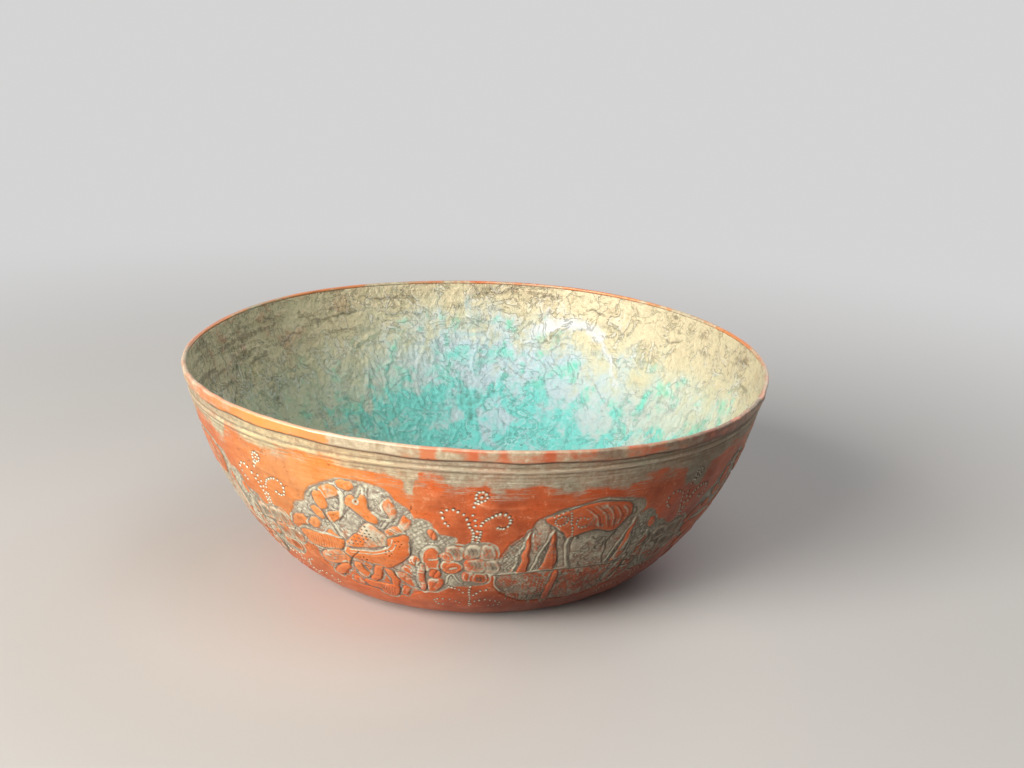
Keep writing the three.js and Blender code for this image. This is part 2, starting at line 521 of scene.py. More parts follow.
    # the head, neck and crest
    head = [(-19.9, 78), (-18.8, 80.4), (-18.2, 76.5), (-17.8, 73.6), (-16.6, 70.6), (-16.9, 68.8),
            (-18.7, 69.3), (-20.2, 71.8), (-21.4, 73.8), (-22.5, 74.8), (-22.3, 77.2), (-21.2, 79.4),
            (-20.4, 77.6)]
    panel.figure(head, swell=0.45)
    panel.pale(ring(-20.3, 77.3, 0.5, 0.9, 10), 0.8, closed=True)
    panel.dots([(-20.3, 77.3)], 0.8, tin=0, grimeAndShade=1.4)
    panel.pale([(-18.6, 83.6), (-19.6, 81.2), (-20.2, 79.2)], 0.8)
    panel.pale([(-18.4, 83), (-18.7, 80.6)], 0.7)
    panel.pale([(-23.4, 79.4), (-23.2, 74.6), (-24.4, 69)], 1.1)
    panel.line([(-21.9, 73.4), (-23.4, 70), (-24.6, 67)], 0.7, 0.25, 0.7)
    panel.line([(-17.3, 83.2), (-17.9, 78), (-17.3, 73.6), (-15.8, 71.4), (-14.4, 71.6)], 0.6, 0.22, 0.7)
    panel.pale([(-17.2, 73), (-16, 71.2), (-14.5, 70.6), (-13.7, 72)], 0.9)
    panel.pale([(-15, 74.2), (-15.1, 77.6), (-14, 80.6), (-13.2, 79.2)], 0.6)
    ticks = [((-14.9, 70.5), (-16.4, 66.7)), ((-15.6, 70.2), (-17, 66.6)), ((-14.2, 70), (-15.6, 66.4))]
    for left, right in ticks:
        panel.line([left, right], 0.6, 0.24, 0.6)
    wing = [(-15.4, 65.5), (-13.6, 68.4), (-12.4, 68.8), (-11.5, 65.5), (-12.9, 63.8), (-14.9, 63)]
    panel.figure(wing, swell=0.25, sharp=True)
    panel.hatch(wing, 62, 1.1, 0.25, tin=0.4, grimeAndShade=0.7, sharp=True)
    panel.pale([(-11.5, 65.6), (-13.3, 63.2), (-15.2, 62.4)], 0.7)
    panel.pale([(-12.5, 69.2), (-11.3, 65.8)], 0.6)
    # the saddle with its rows of punched dots
    saddle = [(-24.9, 55.9), (-24.3, 57.4), (-21.9, 61.3), (-20.4, 64.7), (-19.2, 67.4), (-18.1, 67.7),
              (-16.9, 65.9), (-15.4, 63.4), (-15.3, 59.3), (-17.9, 57.2), (-20.6, 55.6), (-23.6, 54.9)]
    panel.figure(saddle, swell=0.3, groove=0.2, tin=0.62)
    for row in range(4):
        for step in range(7 - row):
            spot = (-24.1 + 1.05 * row + 0.77 * step, 56.6 + 0.1 * row + 1.62 * step)
            panel.dots([spot], 0.75, 0.3, tin=0)
    for row in range(3):
        panel.line([(-18.1 + row, 61.4 + 0.8 * row), (-17.2 + row * 0.9, 57.9 + 0.7 * row)], 0.5, 0.2, 0.5)
    # the body
    body = [(-26.4, 50.5), (-25.4, 53.6), (-23.4, 53), (-20.6, 53.4), (-17.9, 55.1), (-15.4, 57.2),
            (-14.9, 61.3), (-13.1, 63), (-11.5, 64.7), (-10.8, 61.3), (-11, 56.3), (-12.1, 53),
            (-13.6, 50.1), (-15.1, 48), (-16.9, 46.3), (-19.4, 46.7), (-21.1, 47.6), (-23.4, 48.6),
            (-24.9, 48.4)]
    panel.figure(body, swell=0.6, groove=0.2, edge=3.0, grow=0.4)
    for shift in (0.2, 1.7):
        track = [(-24.8, 53.2 - shift), (-21.9, 53.6 - shift), (-19.4, 54.6 - shift), (-16.9, 56.4 - shift),
                 (-15.2 + shift * 0.3, 58.6 - shift), (-14.2 + shift * 0.3, 62 - shift)]
        panel.pale(track, 0.45)
    panel.line([(-24.2, 51), (-21.6, 51.8), (-19, 52.6), (-16.4, 54.4)], 0.6, 0.15, 0.35)
    for x, y in ((-13.2, 60.3), (-15.6, 54.9), (-21.9, 48.9)):
        panel.dots(ring(x, y, 0.7, 1.2, 5), 0.7, 0.32, tin=0)
        panel.dots([(x, y)], 0.6, 0.05, tin=1.2, grimeAndShade=0)
    panel.line([(-10.9, 62), (-10.7, 58), (-11.1, 54.6)], 0.8, 0.24, 1.0)
    # the ribbed panel at the left and the belly below it
    ribs = [(-36, 56.3), (-35.7, 52.8), (-34.7, 50.4), (-32.4, 50.1), (-29.9, 50.3), (-28.3, 51),
            (-26.9, 52.2), (-25.7, 56.6), (-30.4, 57.4)]
    panel.figure(ribs, swell=0.4)
    panel.hatch(ribs, -8, 1.04, 0.24, tin=0.55, grimeAndShade=0.35)
    panel.pale([(-36.1, 57.4), (-34.4, 58.4), (-30.4, 57.9), (-25.9, 57.9)], 1.0)
    panel.pale([(-35.6, 51.4), (-35, 49.6), (-33.4, 48.9), (-30.1, 49.4)], 0.8)
    belly = [(-33.9, 43.8), (-32.7, 46.8), (-30.6, 48.9), (-28.4, 50.3), (-26.6, 49.4), (-25.5, 46.6),
             (-26.7, 44), (-29.4, 42.6), (-31.9, 41.4), (-33.1, 41.9)]
    panel.figure(belly, swell=0.45)
    for row in range(3):
        for step in range(5):
            x, y = -31.6 + 1.1 * step + 0.3 * row, 43.7 + 1.5 * row + 0.5 * step
            panel.line([(x, y), (x + 0.45, y + 0.25)], 0.5, 0.22, 0.6)
    for shift in (0, 0.9):
        panel.line([(-27.6 + shift, 50.2), (-26.4 + shift, 47.2), (-26.9 + shift, 44.6)], 0.6, 0.25, 0.6)
    panel.line([(-22.6, 52.4), (-25.2, 47), (-27.4, 41), (-29.2, 37), (-31.2, 32.8)], 0.7, 0.3, 1.0)
    limbs = [
        [(-28.6, 42.2), (-27, 43.6), (-27.4, 40.1), (-29.4, 36.9), (-31.7, 33.9), (-32.4, 35.3),
         (-30.7, 38.8)],
        [(-24.7, 45.2), (-23.8, 44.9), (-22.3, 38.8), (-22.9, 37.4), (-24.5, 40.5), (-25.3, 43.2)],
        [(-19.5, 46.4), (-18, 46.2), (-18.8, 42.2), (-20, 38.4), (-21.7, 35.4), (-22.4, 36.3),
         (-20.7, 40.5), (-20, 43)],
        [(-17.5, 45), (-16, 44.2), (-15.3, 38.8), (-15.8, 34.5), (-16.7, 34.7), (-16.7, 40.1)],
    ]
    for limb in limbs:
        panel.figure(limb, swell=0.45, groove=0.2, grow=0.5, sharp=True)
    base = [(-24.4, 34.6), (-22, 34.9), (-19.9, 34.6), (-16.1, 34.6), (-15.9, 31.9), (-17.9, 26.4),
            (-19.9, 25.9), (-21, 27), (-21.3, 30.4), (-23.8, 30.8)]
    panel.figure(base, swell=0.42)
    sole = [(-20.2, 33.4), (-16.4, 33.4), (-16.4, 31.6), (-18.2, 27), (-20, 26.8)]
    panel.hatch(sole, -22, 1.15, 0.22, tin=0.3, sharp=True)
    panel.line([(-28.2, 29.4), (-24.4, 29.4), (-21.6, 29)], 0.8, 0.24, 0.9)
    panel.scribble(shrunk(outline, 0.05), 170, length=2.2, width=0.42, depth=0.1, grimeAndShade=0.85, tin=0.5)
    return panel


def gardenMedallion():
    panel = Panel(2, 47, seed=12)
    arch = [(7, 56), (8.5, 62), (10, 66), (12, 69), (12.6, 71.5), (13.8, 75.3), (15.6, 76.8), (17.7, 78.8),
            (20.1, 80), (23.1, 81.5), (26.1, 82.3), (29.1, 81.5), (32.2, 80), (34.6, 78.5), (35.2, 75),
            (36.1, 71.5), (39.7, 67.5)]
    foot = [(41, 40), (38, 33), (33, 28.5), (27, 26.5), (20, 26.8), (15, 27.4), (12.3, 29.5), (10.1, 32),
            (8, 36), (7, 40), (6.4, 45)]
    upper = arch + [(43.5, 65), (45, 58), (43.5, 48.6), (6.4, 47)]
    lower = [(6.4, 47), (43.5, 48.6)] + foot
    panel.field(arch + [(43.5, 65), (45, 58), (43.5, 48)] + foot, tin=0.45, matted=0.6, grimeAndShade=0.3)
    panel.shade(upper, 0.4, tin=0.8)
    panel.shade(lower, 0.42)
    panel.scribble(upper, 260, slant=-70, length=3.0, width=0.5, depth=0.16, grimeAndShade=0.9, tin=1.25)
    panel.scribble(lower, 260, slant=-72, length=3.4, width=0.5, depth=0.16, grimeAndShade=0.9, tin=1.1)
    panel.line(arch, 0.7, 0.16, 0.3)
    panel.pale([(14.4, 75.2), (16, 76.2), (20.4, 79.4), (26.2, 81.4), (31.8, 79.6)], 0.6)
    panel.line(foot[::-1], 0.9, 0.26, 0.4)
    panel.pale([(6.5, 46), (6.9, 40.6), (8.2, 36.2)], 0.7)
    # the leaf-shaped canopy under the arch
    canopy = [(15.1, 74.6), (17, 76.6), (18.9, 77.7), (21.3, 79.2), (24.5, 80), (28, 79.8), (31.2, 78.3),
              (32.2, 75), (31.2, 70), (29.1, 66.4), (27, 67.4), (25.5, 68.2), (23.1, 67.8), (20.1, 65.2),
              (18.8, 68.2), (17.3, 70.5)]
    panel.figure(canopy, swell=0.4, groove=0.2, tin=0.3)
    panel.dots(ring(18, 73.6, 1.25, 2.1, 11), 0.85)
    panel.dots(curl(22.2, 72.6, 1.3, 2.2, np.arange(8) * 0.62 + 0.9), 0.85)
    panel.dots([(19.4 + 0.16 * i, 77.2 - 1.35 * i) for i in range(9)], 0.85)
    panel.dots([(16.4 + 0.75 * i, 75.9 + 0.75 * i) for i in range(4)], 0.7)
    ribs = (((21.6, 78.7), (25.8, 69.3)), ((23.7, 79), (27.4, 68.8)), ((26, 79), (28.6, 68.6)),
            ((27.7, 78.6), (29.9, 69.6)), ((29.6, 78), (31, 71.6)))
    for start, end in ribs:
        bend = (np.mean([start[0], end[0]]) + 0.7, np.mean([start[1], end[1]]) + 0.6)
        panel.line([start, bend, end], 0.5, 0.0, 0.0, tin=0.9)
        panel.line([(x + 0.6, y) for x, y in (start, bend, end)], 0.6, 0.25, 0.6)
        panel.line([(x - 0.5, y) for x, y in (start, bend, end)], 0.5, 0.15, 0.4)
    # cypresses on their ground line
    trees = [((12.2, 69.4), (10, 47.6), (13.1, 48.6)), ((16.9, 69.6), (14.2, 48.9), (18.9, 49)),
             ((34, 70.4), (31.2, 49), (35.1, 49)), ((39.1, 63), (37.3, 48.5), (40.6, 48.5))]
    for tip, left, right in trees:
        crotch = (left[0] * 0.45 + right[0] * 0.55, left[1] + 8)
        heel = (left[0] * 0.62 + right[0] * 0.38, left[1])
        panel.hatch([tip, left, heel, crotch], 30, 1.0, 0.2, tin=1.0, grimeAndShade=0.6, sharp=True)
        panel.figure([tip, crotch, heel, right, (right[0] - 0.2, right[1] + 6)], 0.32, 0.22, sharp=True)
        panel.hatch([tip, crotch, heel, right], 96, 0.9, 0.12, grimeAndShade=0.35, sharp=True)
        panel.pale([tip, (left[0] * 0.8 + tip[0] * 0.2, left[1] + 7), left], 0.7, sharp=True)
        panel.line([tip, right], 0.6, 0.22, 0.8, sharp=True)
    for level in (55.6, 56.8, 58):
        panel.line([(14.9, level), (17.6, level + 0.3)], 0.5, 0.2, 0.3, tin=0.8, sharp=True)
    bush = [(7.6, 52), (8, 57), (9.2, 62), (11.4, 67), (11.6, 61), (10.6, 54), (9.6, 49), (8.2, 48.4)]
    for slant in (38, -38):
        panel.hatch(bush, slant, 1.25, 0.2, tin=1.0, grimeAndShade=0.6)
    panel.scribble(bush, 60, length=1.8, width=0.5, depth=0.14, grimeAndShade=0.8, tin=1.2)
    # the stem and the scribbled flowers between the cypresses
    stem = [(20.2, 66), (20.1, 61), (20.9, 54), (22.2, 49)]
    panel.pale(stem, 0.7)
    panel.line([(x + 0.9, y - 0.4) for x, y in stem], 0.7, 0.22, 0.7)
    for _ in range(16):
        x, y = panel.rng.uniform(22, 29.5), panel.rng.uniform(50.5, 64)
        size, start = panel.rng.uniform(0.7, 1.6), panel.rng.uniform(0, 6)
        loop = curl(x, y, 0.7 * size, 1.2 * size, np.linspace(start, start + 4, 6))
        panel.line(loop, 0.55, 0.2, 0.3, tin=0.9)
    panel.pale([(21.5, 57), (23.6, 57.3)], 0.5)
    panel.line([(30.2, 66), (29.4, 60), (29.6, 54), (30.6, 49)], 0.8, 0.25, 0.7)
    panel.pale([(2, 47.5), (9, 47.6), (16.2, 48.8), (21.9, 49.2)], 0.7)
    panel.line([(21.9, 49.2), (31, 48.6), (41, 48.2)], 0.6, 0.16, 0.2, tin=0.7)
    panel.line([(6.4, 46.6), (9.5, 46.2), (13, 47.6), (21, 47.8), (31, 47.2), (40, 46.8)], 0.7, 0.24, 0.7)
    # below the ground line: a net, uprights, dots and a post
    net = [(6.9, 45.4), (12.8, 46.4), (13, 36), (10.4, 33.4), (8.2, 37)]
    panel.shade(net, 0.1, tin=0.6)
    for slant in (40, -36):
        panel.hatch(net, slant, 1.15, 0.18, tin=0.7, grimeAndShade=0.5)
    for x in (12.9, 13.8, 14.7, 15.6):
        panel.line([(x - 0.3, 45.8), (x, 40), (x + 0.4, 33)], 0.5, 0.05, 0.0, tin=1.0)
    for row in range(3):
        panel.dots([(16.5 + 0.8 * row + 0.1 * i, 44.2 - 1.55 * i - 0.5 * (row % 2)) for i in range(8)], 0.85)
    post = [(19.4, 46.4), (20.3, 46.4), (20.6, 36), (21, 28), (19.8, 28.2), (19.4, 36)]
    panel.figure(post, 0.25, 0.18)
    for row in range(4):
        panel.dots([(24 + 2.2 * row + 0.25 * i * i, 45.6 - 1.7 * i - 1.1 * row) for i in range(6)], 0.7)
        panel.dots([(14.5 + 1.1 * i, 33 - 1.25 * row + 0.15 * i) for i in range(5)], 0.6)
    for x, y in ((24, 38), (28.5, 41), (33, 38)):
        panel.line([(x - 1.6, y - 4), (x - 0.4, y + 1), (x + 1.4, y + 3)], 0.8, 0.25, 0.7)
    return panel


def betweenMedallions():
    panel = Panel(-13, 12, seed=13)
    ground = [(-11.4, 52), (-11.2, 60), (-10.6, 67), (-9.8, 72.6), (-8, 73.7), (-6.2, 71.6), (-5, 67.5),
              (-1.6, 65.8), (-1.9, 62.6), (0.2, 62), (1.8, 64.2), (4, 63.6), (5.6, 61), (6.2, 56),
              (6.6, 49), (5, 47.4), (4.8, 40.6), (0.8, 38.8), (-2.6, 38.6), (-4.2, 36.2), (-6, 34.2),
              (-9, 33.8), (-11.6, 33.6), (-11.8, 43)]
    panel.field(ground, tin=0.95, matted=0.7, grimeAndShade=0.1)
    panel.scribble(ground, 90, length=2.4, width=0.5, depth=0.15, grimeAndShade=0.45, tin=0.8)
    panel.line(ground[:8], 0.6, 0.12, 0.2)
    panel.line(ground[8:15], 0.6, 0.12, 0.25)
    panel.shade([(-2, 62), (2, 64), (6, 61), (6.4, 48), (4.6, 41), (-1.6, 41), (-4.6, 56)], 0.15)
    brush = [(-10.8, 57), (-10, 71), (-7.6, 72.6), (-5.2, 67.6), (-2.4, 65.2), (-4.5, 60.8), (-7.8, 60)]
    for slant in (25, -50):
        panel.hatch(brush, slant, 1.6, 0.16, tin=0.3, grimeAndShade=0.4)
    bud = [(-8.5, 47.4), (-8.4, 54), (-7.7, 58.2), (-6.3, 59.8), (-5.3, 57.6), (-5.2, 52.4), (-5.6, 48.6)]
    panel.figure(bud, 0.42)
    panel.pale([(-8.6, 52), (-8.5, 56.4), (-7.4, 60), (-5.9, 60.4), (-4.9, 58)], 0.9)
    panel.pale([(-7.2, 53.8), (-5, 55)], 0.7)
    panel.dots([(-7.7 + 0.55 * step, 62.6) for step in range(5)], 0.8)
    leaves = [
        [(-8.4, 37.6), (-7.6, 42), (-6, 44.2), (-5, 43), (-5.2, 38.6), (-6.4, 35.2), (-8, 34.6)],
        [(-11, 50.4), (-11.2, 53.6), (-9.6, 54), (-9, 51), (-9.6, 49.2)],
        [(-6.6, 66), (-6.6, 68.4), (-5.8, 68), (-5.4, 65.4), (-6, 64.4)],
        [(-7.4, 44.6), (-7, 48), (-5.6, 48.4), (-5, 45.4), (-6, 43.8)],
    ]
    for leaf in leaves:
        panel.figure(leaf, 0.38)
        middle = np.mean(leaf, 0)
        panel.line([middle - (0.4, 2), middle, middle + (0.4, 2)], 0.7, 0.25, 0.7)
    bar = [(-10.3, 36), (-9.9, 44), (-9.4, 50.3), (-8.5, 50.6), (-8.6, 46), (-9.1, 35), (-9.9, 34.4)]
    panel.figure(bar, 0.35, 0.32)
    panel.pale([(-10.6, 36), (-10.2, 44), (-9.7, 50)], 0.6)
    panel.figure(ring(-2.7, 50.5, 2.25, 3.7, 10), 0.4)
    panel.pale(curl(-2.7, 50.7, 2.2, 3.5, np.linspace(0.6, 3.4, 8)), 0.6)
    panel.line(curl(-2.7, 50.3, 1.4, 2.3, np.linspace(0.2, 5.4, 10)), 0.6, 0.2, 0.4)
    panel.pale([(-3.1, 49.7), (-1.9, 50.6)], 0.8)
    petals = [  # share of tin, outline
        (0.71, [(-3.1, 61.1), (-0.4, 61.3), (0, 58), (-0.6, 55.6), (-3.3, 56)]),
        (0.81, [(0.4, 59.8), (1.1, 61.9), (2.9, 61.9), (3.2, 58.8), (2.9, 57.2), (1.2, 55.8), (0.3, 57.2)]),
        (0.66, [(3.5, 58.4), (3.7, 62.1), (4.8, 62.4), (5.7, 60.3), (5.9, 57.7), (5.6, 55.7), (3.3, 55.7)]),
        (0.76, [(0.1, 52.5), (0.9, 54.7), (2.4, 55), (4.1, 54), (4.5, 52), (4.1, 49), (2.8, 48.5),
                (0.7, 49.4)]),
        (0.71, [(4.6, 53.8), (5.4, 54.7), (6.4, 54.5), (7, 52.5), (6.9, 50), (6.3, 48.3),
                (4.6, 48.2), (4.9, 51)]),
        (0.26, [(0.3, 47.2), (1.5, 47.4), (1.9, 45.2), (1.6, 43.3), (0.4, 43.4), (0, 45.2)]),
        (0.36, [(2.3, 47.2), (4.3, 46.8), (4.7, 45.2), (4.5, 42.9), (3.6, 41.9), (2.1, 43.3)]),
        (0.56, [(-4.6, 56.4), (-3.6, 57.6), (-2.6, 55.4), (-3.4, 54.6)]),
    ]
    for tin, petal in petals:
        panel.figure(petal, 0.26, 0.06, tin=tin, grow=0.6, dark=0.1)
        panel.shade(petal, 1.0)
        panel.line(petal, 0.42, 0.0, 0.0, tin=1.02, closed=True)
        middle = np.mean(petal, 0)
        for shift in (-0.8, 0, 0.8):
            tick = [middle + (shift - 0.4, 2.2), middle + (shift + 0.1, 0.2), middle + (shift, -1.4)]
            panel.line(tick, 0.4, 0.12, 0.5)
    panel.pale([(0.4, 48), (3, 47.7), (5.4, 47.4), (7.2, 48.4), (7.8, 51)], 0.5)
    panel.pale([(-3.6, 44.6), (-2.4, 46.4), (-1.4, 42.4), (-0.4, 41.4)], 0.6)
    panel.pale([(-4.4, 40), (-3.4, 44.6), (-2.6, 46.6), (-1.6, 43), (-0.6, 40.4)], 0.6)
    return panel


def spray(panel):  # dotted stalks above and below the flowers, each in two rows that part into curls
    stem = [(1.8 - 0.09 * i, 64.7 + 1.3 * i) for i in range(5)]
    stem += [(2.7 + 0.05 * i, 64.2 + 1.3 * i) for i in range(5)]
    panel.boss((5.6, 73.5), 4.2, 0.3)
    panel.boss((-2, 74), 4.0, 0.25)
    panel.dots(stem + [(2.2, 67), (2.25, 69.5), (2.15, 72), (2.0, 74.4), (1.6, 76.7)])
    panel.dots([(1.1, 71.2), (0.9, 73), (0.5, 74.8), (-0.1, 76.9), (-1.2, 78.2), (-2, 79), (-3.1, 78.6),
                (-4.05, 77.1), (-4.1, 75), (-3.5, 73.2), (-2.85, 72.2)])
    panel.dots([(3.1, 72.3), (3.3, 73.8), (3.8, 75.1), (4.2, 76), (4.9, 76.8), (5.6, 77.5), (6.35, 77.8),
                (7.3, 77.5), (8, 76.5), (8.3, 75.1), (8.25, 73.8), (8, 72.2), (7.3, 71.3), (6.7, 71.4),
                (6.05, 72)])
    panel.dots(ring(2.8, 84.6, 0.95, 1.9, 9) + [(2.8, 84.6), (1.9, 82), (2.4, 81.8), (1.6, 80.2)])
    # a soft raised line above the right curl, rubbed bright, with a painted highlight along it
    window, away = panel.near(panel.curve([(2.6, 81), (5, 80.2), (8, 79.4), (10.6, 79.6)]), 4)
    panel.keep("swell", 0.16 * hump(away, 1.1), window)
    panel.keep("rubAndSheen", 0.45 * hump(away, 0.8), window)
    panel.dots([(1.4, 39 - 1.9 * i) for i in range(9)])
    panel.dots([(0, 34.5), (-1, 36.5), (-2, 37.5), (-2.7, 38), (-3.4, 38.5)])
    panel.dots([(2.3, 33.3), (3, 34.8), (4, 36.5), (5.3, 37.5)])
    panel.dots([(-1, 26), (-2, 27.3), (-3.7, 28.5), (-5.25, 28.8), (-6.5, 28.5), (-7.4, 27.3), (-7.5, 25.3),
                (-6.8, 23.8), (-5.6, 23.6)])
    panel.dots([(1.8, 25.5), (2.7, 27.8), (3.8, 28.8), (5.15, 29.5), (6.5, 29), (7.95, 28.4), (9.1, 26.8),
                (9, 24.6), (7.9, 23.5), (6.5, 23.8)])


# The whole wall: each drawing in its places, with the small differences of hand work
wallWork = dict(
    fieldDepth=0.18,
    cutDepth=0.7,  # share of the drawn depth
    deepest=0.62,  # a cut stays above the sheet's own inner face
    birds=[-21.5, 68.5, 158.5, -111.5],  # the first of each is where the drawing was made
    gardens=[23.5, 113.5, -156.5, -66.5],
    betweens=[0, 45, 90, 135, 180, -135, -90, -45],
    mirroredPast=100,  # the medallions behind face the other way
    trueTo=48,  # the front, in degrees, where the drawings aren't wandered
    wander=0.9,  # mm that a copy away from the front strays from the first
    shake=0.16,  # mm that every line shakes
    hammerDepth=0.08,
    hammeredTo=96,  # mm up the wall
    ridge=94.1,  # the raised line under the rim, mm up the wall
    ridgeLean=1.0,
    ridgeHeight=0.2,
    grooves=[(1.3, 0.22), (-1.15, 0.22), (-2.5, 0.12), (-3.6, 0.06)],  # mm from the ridge, depth
)


def layOut():
    bird, garden, between = birdMedallion(), gardenMedallion(), betweenMedallions()
    spray(between)
    print("panels drawn")
    places = []
    for panel, angles in ((bird, wallWork["birds"]), (garden, wallWork["gardens"])):
        places += [(panel, angles[0], angle, abs(angle) > wallWork["mirroredPast"]) for angle in angles]
    return places + [(between, 0, angle, False) for angle in wallWork["betweens"]]


def sampleWork(theta, arc):  # every layer of the drawings at these points of the wall
    found = {name: np.zeros(theta.shape) for name in Panel.names}
    calm = np.clip((np.abs(theta) - wallWork["trueTo"]) / 20, 0, 1) * wallWork["wander"]
    shake = wallWork["shake"]
    strayX = calm * ripple(theta, arc, 21, 6, 60, 140) + shake * ripple(theta, arc, 23, 10, 5, 14)
    strayY = calm * ripple(theta, arc, 22, 6, 60, 140) + shake * ripple(theta, arc, 24, 10, 5, 14)
    for panel, home, angle, mirrored in placedWork:
        turn = (theta - angle + 180) % 360 - 180
        x = (home + (-turn if mirrored else turn)) * degree + strayX
        col, row = (x - panel.x[0]) / panel.step, (arc + strayY - panel.y[0]) / panel.step
        hit = (col >= 0) & (col < len(panel.x) - 1) & (row >= 0) & (row < len(panel.y) - 1)
        c, r = col[hit], row[hit]
        c0, r0 = c.astype(int), r.astype(int)
        fc, fr = c - c0, r - r0
        for name, layer in panel.layers.items():
            low = layer[r0, c0] * (1 - fc) + layer[r0, c0 + 1] * fc
            high = layer[r0 + 1, c0] * (1 - fc) + layer[r0 + 1, c0 + 1] * fc
            found[name][hit] = np.maximum(found[name][hit], low * (1 - fr) + high * fr)
    return found


def relief(theta, arc, work):  # mm out from the plain wall
    ground = wallWork["fieldDepth"] * work["field"] * (1 - work["figure"])
    beaten = wallWork["hammerDepth"] * hammered(theta, arc)
    cuts = wallWork["cutDepth"] * work["cut"]
    return np.maximum(work["swell"] - ground - cuts, -wallWork["deepest"] + 0.1) + beaten


def hammered(theta, arc):
    return ripple(theta, arc, 31, 30, 9, 26) * np.clip((wallWork["hammeredTo"] - arc) / 6, 0, 1)


def rimLines(theta, arc):  # the ridge and the lines chased round under the rim
    lean = wallWork["ridgeLean"] * np.sin(np.radians(theta)) + 0.12 * ripple(theta, arc * 0, 25, 5, 60, 200)
    away = arc - wallWork["ridge"] - lean
    height = wallWork["ridgeHeight"] * hump(away, 0.55)
    for drop, depth in wallWork["grooves"]:
        uneven = depth * np.clip(0.8 + 0.35 * ripple(theta, arc * 0, 26 + round(drop), 14, 4, 40), 0.15, 1.4)
        height = height - uneven * hump(away - drop, 0.33)
    return height


placedWork = layOut()


# Meshes turned from a section
def turnedMesh(name, points, closed, parts, layers):
    # points: rows x steps x 3. closed: the section is a loop; otherwise its first and last rows meet the axis
    rows, steps = points.shape[:2]
    count = rows * steps
    places = points.reshape(-1, 3)
    col = np.arange(steps)
    right = (col + 1) % steps
    bands = rows if closed else rows - 1
    low = np.arange(bands)[:, None]
    high = (low + 1) % rows
    quads = np.stack([low * steps + col, low * steps + right, high * steps + right, high * steps + col], -1)
    quads = quads.reshape(-1, 4)
    quadUvs = spreadQuads(parts, np.repeat(np.arange(bands), steps), np.tile(col, bands), steps)
    loops, starts, uvs = [quads.ravel()], [np.arange(len(quads)) * 4], [quadUvs.reshape(-1, 2)]
    if not closed:
        hub = points[[0, -1]].mean(1)
        hub[:, :2] = 0
        places = np.vstack([places, hub])
        for end, row, part in ((0, 0, parts["foot"]), (1, rows - 1, parts["floor"])):
            order = (right, col) if end == 0 else (col, right)
            fan = np.stack([np.full(steps, count + end), row * steps + order[0], row * steps + order[1]], -1)
            starts.append(len(quads) * 4 + end * steps * 3 + np.arange(steps) * 3)
            loops.append(fan.ravel())
            uvs.append(spreadFan(part, order, steps).reshape(-1, 2))
    mesh = bpy.data.meshes.new(name)
    loops, starts, uvs = np.concatenate(loops), np.concatenate(starts), np.concatenate(uvs)
    mesh.vertices.add(len(places))
    mesh.vertices.foreach_set("co", places.astype(np.float32).ravel())
    mesh.loops.add(len(loops))
    mesh.loops.foreach_set("vertex_index", loops.astype(np.int32))
    mesh.polygons.add(len(starts))
    mesh.polygons.foreach_set("loop_start", starts.astype(np.int32))
    mesh.update(calc_edges=True)
    mesh.polygons.foreach_set("use_smooth", np.ones(len(starts), bool))
    mesh.uv_layers.new(name="OFBake").data.foreach_set("uv", uvs.astype(np.float32).ravel())
    for key, values in layers.items():
        full = np.zeros(len(places), np.float32)
        full[:count] = values.reshape(-1)
        mesh.attributes.new(key, "FLOAT", "POINT").data.foreach_set("value", full)
    mesh.validate()
    piece = bpy.data.objects.new(name, mesh)
    scene.collection.objects.link(piece)
    return piece


# Each part of a section has its own place in the map: a disc seen from above, or strips one above the other.
# disc: left, bottom and size; strips: left, bottom, width, height and how many. hub: the first spot of a disc
def spreadFan(part, columns, steps):
    left, bottom, size = part["disc"]
    corners = np.zeros((steps, 3, 2))
    for corner, columnsHere in zip((1, 2), columns):
        angle = 2 * math.pi * columnsHere / steps
        corners[:, corner] = np.stack([np.cos(angle), np.sin(angle)], -1) * size * part["hub"] / 2
    return corners + (left + size / 2, bottom + size / 2)


def spreadQuads(parts, band, col, steps):
    corners = np.zeros((len(band), 4, 2))
    for part in parts.values():
        hit = (band >= part["bands"][0]) & (band < part["bands"][1])
        for corner, (up, across) in enumerate(((0, 0), (0, 1), (1, 1), (1, 0))):
            turn = (col[hit] + across) / steps
            spot = np.interp(band[hit] + up, part["bands"], part["spots"])
            if "disc" in part:
                left, bottom, size = part["disc"]
                circle = np.stack([np.cos(2 * math.pi * turn), np.sin(2 * math.pi * turn)], -1)
                circle *= (size * spot / 2)[:, None]
                corners[hit, corner] = circle + (left + size / 2, bottom + size / 2)
            else:
                left, bottom, width, height, strips = part["strips"]
                strip = np.floor(col[hit] / steps * strips)
                corners[hit, corner, 0] = left + width * (turn * strips - strip)
                corners[hit, corner, 1] = bottom + height / strips * (strip + 0.04 + 0.92 * spot)
    return corners


def onWall(values, first, shape):  # a layer that is 0 but for the rows of the wall
    layer = np.zeros(shape)
    layer[first : first + len(values)] = values
    return layer


